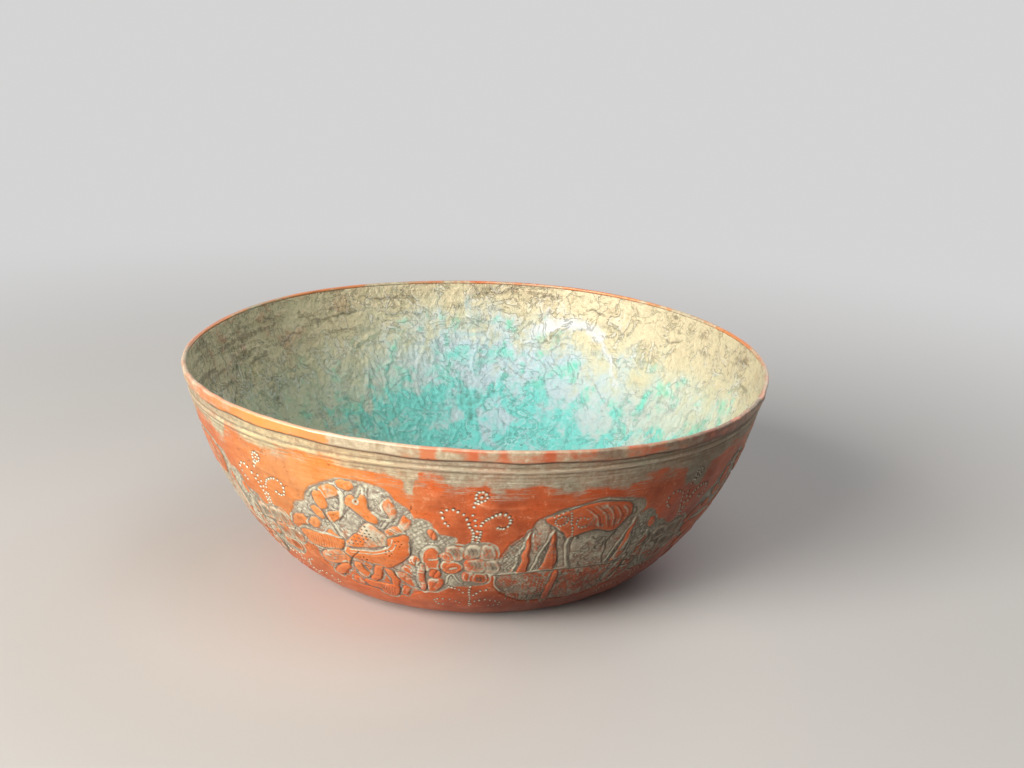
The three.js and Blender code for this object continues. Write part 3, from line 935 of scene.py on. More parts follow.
# Copper sheet
shell = dict(
    steps=2160,
    wallRows=340,
    footRows=18,
    innerRows=60,
    hubRadius=6,  # of the small disc that closes the underside
    floorRing=40.0,  # the one ring of points on its inner face, under the tin
    # the tarnish and painted shade at the middle of the underside
    footTarnishShade=0.3,
    dimple=0.06,  # mm, and never deeper than the next
    dimpleMost=0.2,
    highBlur=1.3,  # what stands out more than its surroundings, this many mm round, is rubbed
    copper=rgb(226, 104, 56),
    # the gold copper and tin, and copperBright, are laid on the lit front left: partly tarnish, partly a
    # painted highlight
    copperGold=rgb(240, 142, 68),
    copperLight=rgb(244, 144, 96),
    copperBright=rgb(252, 190, 130),
    copperWorn=rgb(254, 202, 158),
    copperAged=rgb(150, 62, 38),
    copperDark=rgb(98, 34, 13),
    tin=rgb(222, 219, 196),
    tinBright=rgb(248, 246, 226),
    tinDull=rgb(149, 145, 124),
    tinGrey=rgb(151, 139, 128),
    tinSpecks=rgb(82, 75, 62),
    tinGold=rgb(232, 208, 142),
    dirtAndShade=rgb(66, 38, 27),
    greyDirtAndShade=rgb(82, 74, 65),
)


def makeShell():
    rows, steps = shell["wallRows"], shell["steps"]
    theta = roundTurn(steps)
    top = lipArc - bowl["bandThickness"] - bowl["fitClearance"]
    arc = np.linspace(0, top, rows)
    turn, up = np.meshgrid(theta, arc)
    work = sampleWork(turn, up)
    lines = rimLines(turn, up)
    height = relief(turn, up, work) + lines
    high = height - blur(height, shell["highBlur"], arc[1], degree * 360 / steps)
    radius, level = besideWall(up, height)
    wall = inSpace(turn, radius, np.maximum(level, 0))
    hub, edge = shell["hubRadius"], bowl["footRadius"]
    turnUnder, under = np.meshgrid(theta, np.linspace(hub, edge, shell["footRows"] + 1)[:-1])
    dips = shell["dimple"] * dimpled(turnUnder, under, 41, 20, 9, 24)
    dips = np.clip(dips, 0, shell["dimpleMost"]) * np.clip((under - hub) / 10, 0, 1)
    foot = inSpace(turnUnder, under, dips * np.clip((edge - under) / 6, 0, 1))
    turnInner, upInner = np.meshgrid(theta, np.linspace(top, 0, shell["innerRows"]))
    radius, level = besideWall(upInner, -bowl["sheetThickness"])
    inner = inSpace(turnInner, radius, level)
    floor = inSpace(*np.meshgrid(theta, [shell["floorRing"], hub]), bowl["sheetThickness"])
    points = np.concatenate([foot, wall, inner, floor])
    first, last = len(foot), len(foot) + rows - 1
    back, total = last + len(inner), len(points) - 1
    shape = points.shape[:2]
    layers = {name: onWall(work[name], first, shape) for name in ("cut", "tin", "grimeAndShade", "rubAndSheen", "matted")}
    layers["cut"] += onWall(np.maximum(-lines, 0) * 0.8, first, shape)
    layers["high"] = onWall(high, first, shape)
    belowWall, behindWall = np.full(foot.shape[:2], -10.0), np.full((len(inner) + 2, steps), 60.0)
    layers["up"] = np.concatenate([belowWall, up, behindWall])
    layers["edge"] = np.broadcast_to(tinEdge(theta), shape)
    layers["under"] = layers["up"] - stripEdge(theta)
    # the painted highlight fades lower down the wall
    layers["goldSheen"] = goldenAndLit(theta) * np.clip((layers["up"] - 20) / 50, 0.2, 1)
    # painted shade on the right and low down, with tarnish round the back
    layers["tarnishShade"] = tarnishedAndShaded(theta, layers["up"])
    inwards = (under / edge) ** 2  # the wall's colours fade out across the underside
    layers["goldSheen"][:first] *= inwards
    middle = shell["footTarnishShade"]
    layers["tarnishShade"][:first] = middle + (layers["tarnishShade"][:first] - middle) * inwards
    parts = dict(
        foot=dict(bands=(0, first), spots=(0.1, 1), disc=(0.01, 0.01, 0.2), hub=0.1),
        wall=dict(bands=(first, last), spots=(0, 1), strips=(0.0, 0.23, 1.0, 0.77, 2)),
        back=dict(bands=(last, back), spots=(0, 1), strips=(0.23, 0.01, 0.5, 0.2, 2)),
        floor=dict(bands=(back, total), spots=(1, 0.15), disc=(0.75, 0.01, 0.2), hub=0.15),
    )
    piece = turnedMesh("copper_shell", points, False, parts, layers)
    piece.data.materials.append(copperMaterial())
    return piece


def tinEdge(theta):  # how far down the tin was left under the rim, in mm up the wall
    marks = [
        (-180, 90), (-150, 88), (-120, 91), (-95, 87), (-75, 90), (-60, 88.5), (-55, 87.6), (-51.5, 88.5),
        (-50, 92), (-46.5, 92), (-44, 90.4), (-40, 89), (-37, 90.5), (-33, 92), (-28, 92.4), (-24, 91),
        (-20, 89.4), (-16, 88.2), (-13, 89), (-11.2, 88.6), (-10.5, 84.6), (-9.4, 84), (-8.6, 88.6),
        (-8, 90.4), (-4.4, 89.8), (-3, 88.4), (0, 87.8), (3.5, 88.4), (4.6, 86.6), (6.2, 87.4),
        (8, 87.8), (13, 87.6), (18.5, 87.4), (20, 86), (24, 86.4), (27, 84.4), (31, 84.8), (33, 87.6),
        (38, 90), (43, 89), (44.5, 79), (49, 78.6), (51, 88), (70, 90), (100, 86), (130, 91),
        (155, 88), (180, 90),
    ]
    return readMarks(theta, marks) + 0.25 * ripple(theta, theta * 0, 51, 12, 8, 30)


def goldenAndLit(theta):  # where the copper is painted yellower: partly tarnish, partly a painted highlight on the front left, where the key lamp falls
    marks = [(-180, 0.2), (-120, 0.5), (-70, 0.2), (-55, 0.35), (-40, 1), (-24, 1), (-14, 0.6), (-6, 0.15),
             (2, 0), (40, 0), (90, 0.3), (135, 0.7), (160, 0.2), (180, 0.2)]
    return readMarks(theta, marks)


def tarnishedAndShaded(theta, arc):  # where the bowl is painted darker: uneven tarnish round the back, and painted shade on its right side and low on the wall
    marks = [
        (-180, 0.3), (-150, 0.1), (-120, 0.4), (-90, 0.1), (-70, 0.15), (-50, 0.12), (-35, 0), (0, 0),
        (5, 0.03), (14, 0.2), (24, 0.4), (44, 0.7), (60, 0.5), (85, 0.1), (110, 0.35), (140, 0.1),
        (160, 0.35), (180, 0.3),
    ]
    # painted shade low on the wall, from the front round to the right
    low = np.clip((52 - arc) / 30, 0, 1) * np.clip(0.2 + (theta + 8) / 30, 0, 1)
    low *= np.clip((90 - np.abs(theta)) / 40, 0, 1)
    return np.clip(readMarks(theta, marks) * np.clip(1 - (arc - 80) / 24, 0.35, 1) + low, 0, 1)


def copperMaterial():
    material, w, shader = newMaterial("chased_copper")
    place = w.node("TexCoord", out="Object")
    flat = place.scaled(1, 1, 9)
    thin = place.scaled(0.5, 0.5, 10)
    upright = place.scaled(1, 1, 0.22)
    cut, tin, grimeAndShade, rubAndSheen, matted, high = w.attributes("cut", "tin", "grimeAndShade", "rubAndSheen", "matted", "high")
    up, edge, under, goldSheen, tarnishShade = w.attributes("up", "edge", "under", "goldSheen", "tarnishShade")
    broad, patchy = w.noise(place, 22, 3), w.noise(place, 75, 4, 0.6)
    mottle, fine = w.noise(place, 240, 3, 0.6, 0.5), w.noise(place, 620, 3, 0.7)
    streaks, scratches = w.noise(flat, 60, 4, 0.6), w.noise(thin, 240, 3, 0.7)
    smears, nicks = w.noise(upright, 95, 4, 0.6), w.noise(place, 380, 4, 0.75, 1.0)

    # bare copper: rubbed bright on what stands out, redder and darker elsewhere; yellower with a painted
    # highlight on the front left, and painted shade on the right and low down
    copper = goldSheen.mix(shell["copper"], shell["copperGold"])
    light = (patchy * 0.9 + streaks * 0.7 + broad * 0.5 - 0.75).step(0.0, 0.55)
    copper = (light * 0.7).mix(copper, goldSheen.mix(shell["copperLight"], shell["copperBright"]))
    aged = (patchy * 1.1 + broad * 0.9 + mottle * 0.3 - high * 1.5 - 0.85).step(0.1, 0.7)
    copper = (aged * (0.7 - goldSheen * 0.4)).mix(copper, shell["copperAged"])
    smeared = (smears * 1.3 + broad * 0.5 + fine * 0.3 - 1.0).step(0.0, 0.4) * (0.45 - goldSheen * 0.25)
    copper = smeared.mix(copper, shell["copperAged"])
    # painted shade: dark copper on the right side and low down, with tarnish round the back
    copper = (tarnishShade * 0.75 + (smears - 0.5) * tarnishShade * 0.8).mix(copper, shell["copperDark"])
    # worn bright on what stands out; the rub layer also brings the painted highlight over the right curl
    worn = (high * 2.2 + rubAndSheen * 0.6 + mottle * 0.9 + fine * 0.3 - 0.75).step(0.1, 1.0) * (1 - tarnishShade * 0.7)
    copper = (worn * 0.45).mix(copper, shell["copperWorn"])
    copper = ((nicks - 0.57).step(0.0, 0.1) * (0.35 - tarnishShade * 0.2)).mix(copper, shell["copperWorn"])
    copper = ((0.41 - nicks).step(0.0, 0.08) * 0.45).mix(copper, shell["copperAged"])

    # what is left of the outside tin: in the grounds, and in a band under the rim
    ragged = (patchy - 0.5) * 9 + (mottle - 0.5) * 4 + (streaks - 0.5) * 8
    band = (up + ragged - edge).step(-0.8, 1.6)
    bare = (patchy * 0.8 + streaks * 0.9).step(0.98, 1.15) * (up - 100).step(-9, -5)
    scraped = (up - edge + 6).step(0, 5) * (scratches + (patchy - 0.5) * 0.5).step(0.5, 0.62)
    left = tin + (patchy - 0.5) * 0.9 + (mottle - 0.5) * 1.2 + (fine - 0.5) * 0.7 - high * 1.4
    cover = (band - bare * 0.7).most(left.step(0.3, 0.75) * tin.step(0.02, 0.3)).most(scraped * 0.75)
    tone = (mottle * 0.9 + streaks * 0.4 + fine * 1.2 - 0.82 + high * 2.4).step(0.05, 0.8)
    tone = tone * (1 - band * (scratches - 0.36).step(0.0, 0.2) * 0.6)
    dull = tone.mix(matted.mix(shell["tinDull"], shell["tinGrey"]), shell["tin"])
    punched = w.node("TexVoronoi", {}, {"Vector": place, "Scale": 1100.0}, out="Distance")
    specks = matted * (1 - punched.step(0.1, 0.5)) * (mottle + fine * 0.5).step(0.6, 0.95)
    specks = specks.most((fine * 0.8 + patchy * 0.5).step(0.78, 0.98) * 0.7)
    # painted highlight: the tin band is yellower on the lit front left
    dull = (goldSheen * band * tone * 0.7).mix(dull, shell["tinGold"])
    dull = (specks * 0.6).mix(dull, shell["tinSpecks"])
    # painted shade on the tin of the right side, from the same layer
    dull = (tarnishShade * 0.6).mix(dull, shell["tinSpecks"])
    # painted highlights: glints on the matted tin and the lit spot in each punched pit; the same mix
    # brightens the pale tin lines
    glints = ((fine + high * 0.8).step(0.52, 0.68) * matted * 0.6).most((tin - 1.0).step(0.0, 0.4) * 0.9)
    dull = (glints * (1 - tarnishShade * 0.4)).mix(dull, shell["tinBright"])
    film = ((patchy * 0.8 + fine * 0.5 - 0.2).step(0.0, 0.9) * 0.36 + 0.68).most((tin - 0.7).step(0.0, 0.2))
    colour = (cover * film).mix(copper, dull)

    # dirt and painted shade in the cuts and at the foot of each form, and a painted shadow under the rim
    # strip
    pitted = cut * (1 - (tin - 0.9).step(0.0, 0.3))
    noisy = (mottle - 0.5) * 1.3 + (fine - 0.5) * 0.8 + (patchy - 0.5) * 0.9
    dirtAndShade = (grimeAndShade * 0.95 + pitted * 1.2 - high * 0.9 + noisy - 0.4).step(0.0, 1.0)
    colour = (dirtAndShade * 0.8).mix(colour, cover.mix(shell["dirtAndShade"], shell["greyDirtAndShade"]))
    shadowed = (under + (fine - 0.5) * 0.8 + (patchy - 0.5) * 1.2).step(-1.1, -0.2)
    colour = (shadowed * 0.75).mix(colour, shell["dirtAndShade"])
    bumpy = w.node("Bump", {}, {
        "Strength": 0.6,
        "Distance": 0.0004,
        "Height": fine * 0.6 + mottle * 0.5 + streaks * 0.5 - specks * 0.5,
    })
    connect(shader, {
        "Base Color": colour,
        "Metallic": (0.28 - cover * 0.16) * (1 - dirtAndShade * 0.8),
        "Roughness": 0.38 + cover * 0.14 + dirtAndShade * 0.2 + (fine - 0.5) * 0.2 + aged * 0.08,
        "Specular IOR Level": 0.16,
        "Normal": bumpy,
    })
    return material


# Rim strip
rim = dict(
    steps=1440,
    outerRows=16,
    foldSteps=12,
    rounding=0.55,
    wave=0.45,  # mm that its lower edge wanders
    dent=0.09,
    copper=rgb(216, 112, 74),
    copperGold=rgb(246, 164, 84),
    copperLight=rgb(244, 166, 124),
    copperAged=rgb(146, 66, 42),
    tin=rgb(232, 217, 188),
    tinDull=rgb(164, 148, 120),
    # the pale top edge: worn copper and a painted highlight
    edge=rgb(252, 214, 190),
    dirtAndShade=rgb(96, 44, 28),
)


def makeRim():
    steps = rim["steps"]
    theta = roundTurn(steps)
    clear, thick, depth = bowl["fitClearance"], bowl["bandThickness"], bowl["bandDepth"]
    channel = -bowl["sheetThickness"] - clear
    lipFace = channel - bowl["lipThickness"]
    middle, half = (clear + thick + lipFace) / 2, (clear + thick - lipFace) / 2
    # mm down from the lip, mm out from the wall, share of the wander
    section = [(depth, clear + thick - 0.2, 1)]
    for i in range(rim["outerRows"] + 1):
        share = i / rim["outerRows"]
        section.append(((depth - 0.2) * (1 - share) + rim["rounding"] * share, clear + thick, 1 - share))
    for i in range(1, rim["foldSteps"]):
        angle = math.pi * i / rim["foldSteps"]
        section.append((rim["rounding"] * (1 - math.sin(angle)), middle + half * math.cos(angle), 0))
    section += [(rim["rounding"], lipFace, 0), (bowl["lipDepth"], lipFace, 0), (bowl["lipDepth"], channel, 0)]
    section += [(thick, channel, 0), (thick, clear, 0), (depth * 0.6, clear, 0.6), (depth, clear, 1)]
    down, out, wander = (np.array(v)[:, None] for v in zip(*section))
    turn = np.broadcast_to(theta, (len(section), steps))
    arc = lipArc - down + wander * (stripEdge(theta) - lipArc + depth)
    shown = np.arange(len(section))[:, None] < rim["outerRows"] + rim["foldSteps"]
    dents = rim["dent"] * ripple(turn, arc, 62, 24, 4, 16) * shown
    radius, level = besideWall(np.minimum(arc, lipArc), out + dents)
    points = inSpace(turn, radius, level)
    layers = {
        "down": np.broadcast_to(down, turn.shape),
        "tinned": np.broadcast_to(rimTin(theta), turn.shape),
        "goldSheen": np.broadcast_to(goldenAndLit(theta), turn.shape),
        "tarnishShade": np.broadcast_to(tarnishedAndShaded(theta, 88), turn.shape),
        "inward": np.broadcast_to((clear + thick - out) / (2 * half), turn.shape),
    }
    last, total = rim["outerRows"] + rim["foldSteps"] + 3, len(section)
    parts = dict(
        face=dict(bands=(0, last), spots=(0, 1), strips=(0.0, 0.12, 1.0, 0.88, 8)),
        back=dict(bands=(last, total), spots=(0, 1), strips=(0.0, 0.0, 1.0, 0.11, 2)),
    )
    piece = turnedMesh("rim_strip", points, True, parts, layers)
    piece.data.materials.append(rimMaterial())
    return piece


def stripEdge(theta):  # its lower edge, in mm up the wall
    return lipArc - bowl["bandDepth"] + rim["wave"] * ripple(theta, theta * 0, 61, 8, 25, 90)


def rimTin(theta):  # share of tin left on the strip
    marks = [
        (-180, 0.4), (-160, 0.9), (-140, 0.2), (-120, 0.7), (-100, 0.1), (-80, 0.8), (-62, 0.75), (-52, 0.5),
        (-44, 0.35), (-40, 0.1), (-25, 0.1), (-23, 0.85), (-14, 0.95), (-12.5, 0.8), (-8, 0.75), (-7, 0.1),
        (-5.5, 0.1), (-4.5, 0.8), (-0.5, 0.75), (0.8, 0.35), (2.4, 0.7), (5, 0.7), (6, 0.25), (7.5, 0.75),
        (12.8, 0.75), (13.8, 0.3), (15, 0.8), (18.5, 0.75), (20, 0.7), (24, 0.6), (27, 0.9),
        (31, 0.7), (34, 0.95), (40, 0.9), (48, 0.6), (60, 0.8), (90, 0.8), (110, 0.2), (130, 0.8),
        (150, 0.3), (165, 0.7), (180, 0.4),
    ]
    return readMarks(theta, marks)


def rimMaterial():
    material, w, shader = newMaterial("rim_copper")
    place = w.node("TexCoord", out="Object")
    flat = place.scaled(1, 1, 5)
    down, tinned, inward = w.attributes("down", "tinned", "inward")
    goldSheen, tarnishShade = w.attribute("goldSheen"), w.attribute("tarnishShade") * (1 - w.attribute("inward").step(0.5, 0.9))
    patchy, fine = w.noise(place, 110, 4, 0.6), w.noise(place, 520, 4, 0.65)
    streaks, broad = w.noise(flat, 80, 4, 0.6), w.noise(place, 26, 2)
    copper = goldSheen.mix(rim["copper"], rim["copperGold"])
    copper = ((patchy + streaks * 0.6 - 0.5).step(0.0, 0.65) * 0.6).mix(copper, rim["copperLight"])
    aged = (patchy * 0.8 + broad * 0.8 - 0.6).step(0.1, 0.6) * (0.7 - goldSheen * 0.6)
    copper = aged.mix(copper, rim["copperAged"])
    tin = (fine * 0.8 + patchy * 0.8 - 0.4).step(0.1, 0.8).mix(rim["tinDull"], rim["tin"])
    left = tinned - tarnishShade * 0.35 + (streaks - 0.5) * 1.1 + (patchy - 0.5) * 1.3 + (fine - 0.5) * 0.6
    cover = left.step(0.25, 0.9)
    colour = cover.mix(copper, tin)
    # the top edge worn pale, with a painted highlight along it, stronger on the lit front left
    wornLitTop = (0.7 - down + (patchy - 0.5) * 1.4).step(0.0, 0.5) * (0.85 - inward).step(0, 0.3)
    colour = (wornLitTop * (0.3 + goldSheen * 0.3 - tarnishShade)).mix(colour, rim["edge"])
    # dark patches where the strip is tarnished, and painted shade on its right side
    dark = (patchy * 1.1 + streaks * 0.9 + tarnishShade * 0.9 - 1.12).step(0.0, 0.3) * tarnishShade.step(0.0, 0.3)
    colour = (dark * (0.85 - cover * 0.35)).mix(colour, rim["dirtAndShade"])
    stained = (down - 3.3 + (fine - 0.5) * 1.0 + (patchy - 0.5) * 1.6).step(0.0, 0.9)
    stained = stained.most((patchy * 0.8 + fine * 0.6 - 0.72).step(0.1, 0.4) * 0.5)
    colour = (stained * 0.7).mix(colour, rim["dirtAndShade"])
    bumpy = w.node("Bump", {}, {"Strength": 0.4, "Distance": 0.0004, "Height": fine * 0.6 + streaks * 0.8})
    connect(shader, {
        "Base Color": colour,
        "Metallic": 0.28 - cover * 0.16,
        "Roughness": 0.38 + cover * 0.14 + (fine - 0.5) * 0.2,
        "Normal": bumpy,
    })
    return material


# The tinned inside
lining = dict(
    steps=1512,
    wallRows=250,
    floorRows=26,
    backRows=60,
    hubRadius=3.0,  # of the small discs that close both faces
    backRing=30.0,
    # the outside work that shows, and its blur
    shown=(("cut", 0.45), ("swell", 0.5), ("field", 0.8), ("border", 0.8)),
    tin=rgb(219, 205, 172),
    tinDull=rgb(190, 172, 139),
    tinWarm=rgb(236, 206, 150),
    tinStain=rgb(206, 150, 116),
    scratch=rgb(76, 62, 44),
    bloom=rgb(208, 214, 186),
    verdigris=rgb(116, 222, 186),
    verdigrisBlue=rgb(104, 224, 218),
    verdigrisDeep=rgb(100, 182, 170),
    salt=rgb(190, 220, 240),
    # the pale blue-white of the painted highlight on raised lines inside
    ridge=rgb(226, 233, 246),
    dirtAndShade=rgb(88, 82, 62),
)


def makeLining():
    rows, steps = lining["wallRows"], lining["steps"]
    theta = roundTurn(steps)
    outerFace = -bowl["sheetThickness"] - bowl["fitClearance"]
    innerFace = outerFace - bowl["tinThickness"]
    top = lipArc - bowl["lipDepth"] - bowl["fitClearance"]
    arc = np.linspace(0, top, rows)
    turn, up = np.meshgrid(theta, arc)
    work = sampleWork(turn, up)
    stepUp, stepRound = arc[1], degree * 360 / steps
    lines, forms, grounds, edges = (blur(work[n], s, stepUp, stepRound) for n, s in lining["shown"])
    tall, ridgeSheen = ridged(turn, up)
    pushed = forms * 1.7 - lines * 2.8 - grounds * 0.24 - edges * 0.12 - tall * 0.3
    pushed += blur(wallWork["hammerDepth"] * hammered(turn, up), 0.5, stepUp, stepRound)
    crust = np.clip(0.09 * ripple(turn, up, 71, 70, 2, 7), -0.12, 0.26) * np.clip((88 - up) / 30, 0.25, 1)
    shown = np.minimum(np.maximum(pushed, -0.9) - crust, 0.18)
    high = blur(shown, 1.5, stepUp, stepRound) - shown
    radius, level = besideWall(up, innerFace + shown)
    wall = inSpace(turn, radius, level)
    hub, edge = lining["hubRadius"], bowl["footRadius"]
    turnFloor, rings = np.meshgrid(theta, np.linspace(hub, edge, lining["floorRows"] + 1)[:-1])
    bumps = 0.12 * dimpled(turnFloor, rings, 72, 24, 8, 22) + 0.04 * dimpled(turnFloor, rings, 73, 30, 5, 9)
    bumps = np.clip(bumps, -0.12, 0.5) * np.clip((rings - hub) / 12, 0, 1)
    bumps *= np.clip((edge - rings) / 5, 0, 1)
    floor = inSpace(turnFloor, rings, bumps - innerFace)
    turnBack, upBack = np.meshgrid(theta, np.linspace(top, 0, lining["backRows"]))
    radius, level = besideWall(upBack, outerFace)
    back = inSpace(turnBack, radius, level)
    under = inSpace(*np.meshgrid(theta, [lining["backRing"], hub]), -outerFace)
    points = np.concatenate([under[::-1], back[::-1], wall[::-1], floor[::-1]])
    mouth = len(under) + len(back)
    bottom, total = mouth + rows - 1, len(points) - 1
    shape = points.shape[:2]
    onlyWall = dict(high=high, cut=lines, grimeAndShade=np.minimum(work["grimeAndShade"], 0.5), ridgeSheen=ridgeSheen)
    layers = {name: onWall(values[::-1], mouth, shape) for name, values in onlyWall.items()}
    layers["up"] = np.concatenate([np.zeros((mouth, steps)), up[::-1], np.zeros(floor.shape[:2])])
    layers["scored"] = onWall(scored(turn, up)[::-1], mouth, shape)
    for name, values in (("tide", tide(theta)), ("dulledAndShaded", dulledAndShaded(theta)), ("chalky", chalky(theta))):
        layers[name] = np.broadcast_to(values, shape)
    parts = dict(
        foot=dict(bands=(0, 2), spots=(0.1, 1), disc=(0.76, 0.01, 0.2), hub=0.1),
        back=dict(bands=(2, mouth), spots=(0, 1), strips=(0.26, 0.01, 0.48, 0.2, 2)),
        wall=dict(bands=(mouth, bottom), spots=(1, 0), strips=(0.0, 0.26, 1.0, 0.74, 2)),
        floor=dict(bands=(bottom, total), spots=(1, 0.055), disc=(0.005, 0.005, 0.245), hub=0.055),
    )
    piece = turnedMesh("inner_tin", points, False, parts, layers)
    piece.data.materials.append(tinMaterial())
    return piece


def ridged(theta, arc):  # lines of crust that stand out inside, and the painted highlight along them
    marks = [  # width in mm, painted highlight, points as the angle and mm up the wall
        (2.3, 0.85, [(168, 80.5), (166.5, 82.5), (163.5, 85), (160.5, 86.5), (156.5, 87),
                     (153.5, 85.4), (151, 83)]),
        (1.0, 0.7, [(151, 83), (149, 78.5), (147, 74), (145.5, 68.5), (143.5, 63.5)]),
        (0.9, 0.6, [(167, 80.5), (169, 77.5), (171, 76), (172.4, 73.6), (171.5, 70), (169, 68.5),
                    (167, 70.5)]),
        (0.7, 0.3, [(173, 79), (171.6, 76), (170, 72.6)]),
        (0.6, 0.1, [(164.5, 82), (163.5, 77.5), (161.5, 75), (160.5, 78)]),
        (0.6, 0.1, [(155, 76), (154, 78), (153, 80.5), (151, 79.5), (149.5, 76)]),
        (1.4, 0.5, [(160, 69.6), (158.6, 68.4)]),
        (1.0, 0.4, [(156.8, 63.5), (155.8, 63)]),
        (1.1, 0.5, [(152.8, 65), (152.3, 63)]),
        (0.7, 0, [(131.5, 58.5), (132.4, 64), (131, 70), (129.5, 75.5), (129.8, 84.5)]),
        (0.7, 0, [(127, 58.5), (126.4, 66), (128.6, 72), (126.4, 77)]),
        (0.7, 0, [(107, 72.5), (111.5, 79.5), (115, 81.5)]),
        (0.7, 0, [(-178, 60), (-177, 68), (-178.6, 76), (-176, 84)]),
        (0.7, 0, [(-170, 58), (-171, 65), (-169, 72), (-170.4, 78)]),
        (0.7, 0, [(-160, 62), (-158, 68), (-161, 75), (-158, 80)]),
        (0.7, 0, [(-148, 58), (-150, 66), (-147.5, 72)]),
    ]
    tall, ridgeSheen = np.zeros(theta.shape), np.zeros(theta.shape)
    shakeX, shakeY = (0.35 * ripple(theta, arc, seed, 16, 2.5, 9) for seed in (76, 77))
    for width, pale, points in marks:
        line = np.array(points) * (degree, 1)
        near = (np.abs(theta * degree - line[:, 0].mean()) < 30) & (np.abs(arc - line[:, 1].mean()) < 30)
        x, y = (theta * degree + shakeX)[near], (arc + shakeY)[near]
        away = np.full(near.sum(), 99.0)
        for a, b in zip(line, line[1:]):
            away = np.minimum(away, fromStretch(x, y, a, b))
        tall[near] = np.maximum(tall[near], hump(away, width))
        ridgeSheen[near] = np.maximum(ridgeSheen[near], pale * hump(away, 1.5 * width))
    return tall, ridgeSheen


def tide(theta):  # how far up the wall the verdigris has crept, in mm
    marks = [
        (-180, 89), (-168, 88), (-158, 84), (-145, 76), (-130, 70), (-110, 64), (-80, 66), (-40, 72), (0, 78),
        (40, 80), (80, 80), (105, 82), (120, 80), (135, 78), (150, 80), (160, 80), (170, 84), (180, 89),
    ]
    return readMarks(theta, marks) + 1.5 * ripple(theta, theta * 0, 74, 8, 10, 50)


def dulledAndShaded(theta):  # where the tin is painted brown and olive: dull tin, and painted shade on the inner wall away from the key lamp
    marks = [(-180, 0.7), (-170, 0.5), (-160, 0.35), (-140, 0.48), (-120, 0.7), (-90, 1), (0, 0.6), (90, 0.3),
             (115, 0.25), (130, 0.1), (154, 0.1), (166, 0.5), (180, 0.75)]
    return readMarks(theta, marks)


def chalky(theta):  # where the verdigris has pale blue salts in it
    marks = [(-180, 1), (-165, 0.8), (-150, 0.35), (-130, 0.05), (-60, 0), (60, 0.2), (110, 0.3), (130, 0.45),
             (150, 0.8), (165, 1), (180, 1)]
    return readMarks(theta, marks)


def scored(theta, arc):  # long dark scratches round the upper wall
    marks = [
        (-165, -149, 95.0, 96.6), (-166, -156, 88.4, 88.8), (-150, -142, 91, 90.4), (-134, -126, 86, 83.6),
        (172, 176, 98.6, 98.2), (150, 156, 92.6, 93.4), (128, 134, 90.6, 88.6),
        (-30, -12, 92, 93), (40, 58, 88, 90),
    ]
    total = np.zeros(theta.shape)
    for left, right, start, end in marks:
        share = (theta - left) / (right - left)
        away = arc - (start + (end - start) * share) - 0.5 * ripple(theta, arc * 0, 75, 6, 4, 20)
        ends = np.clip(6 * share, 0, 1) * np.clip(6 * (1 - share), 0, 1)
        total = np.maximum(total, ends * hump(away, 0.5))
    return total


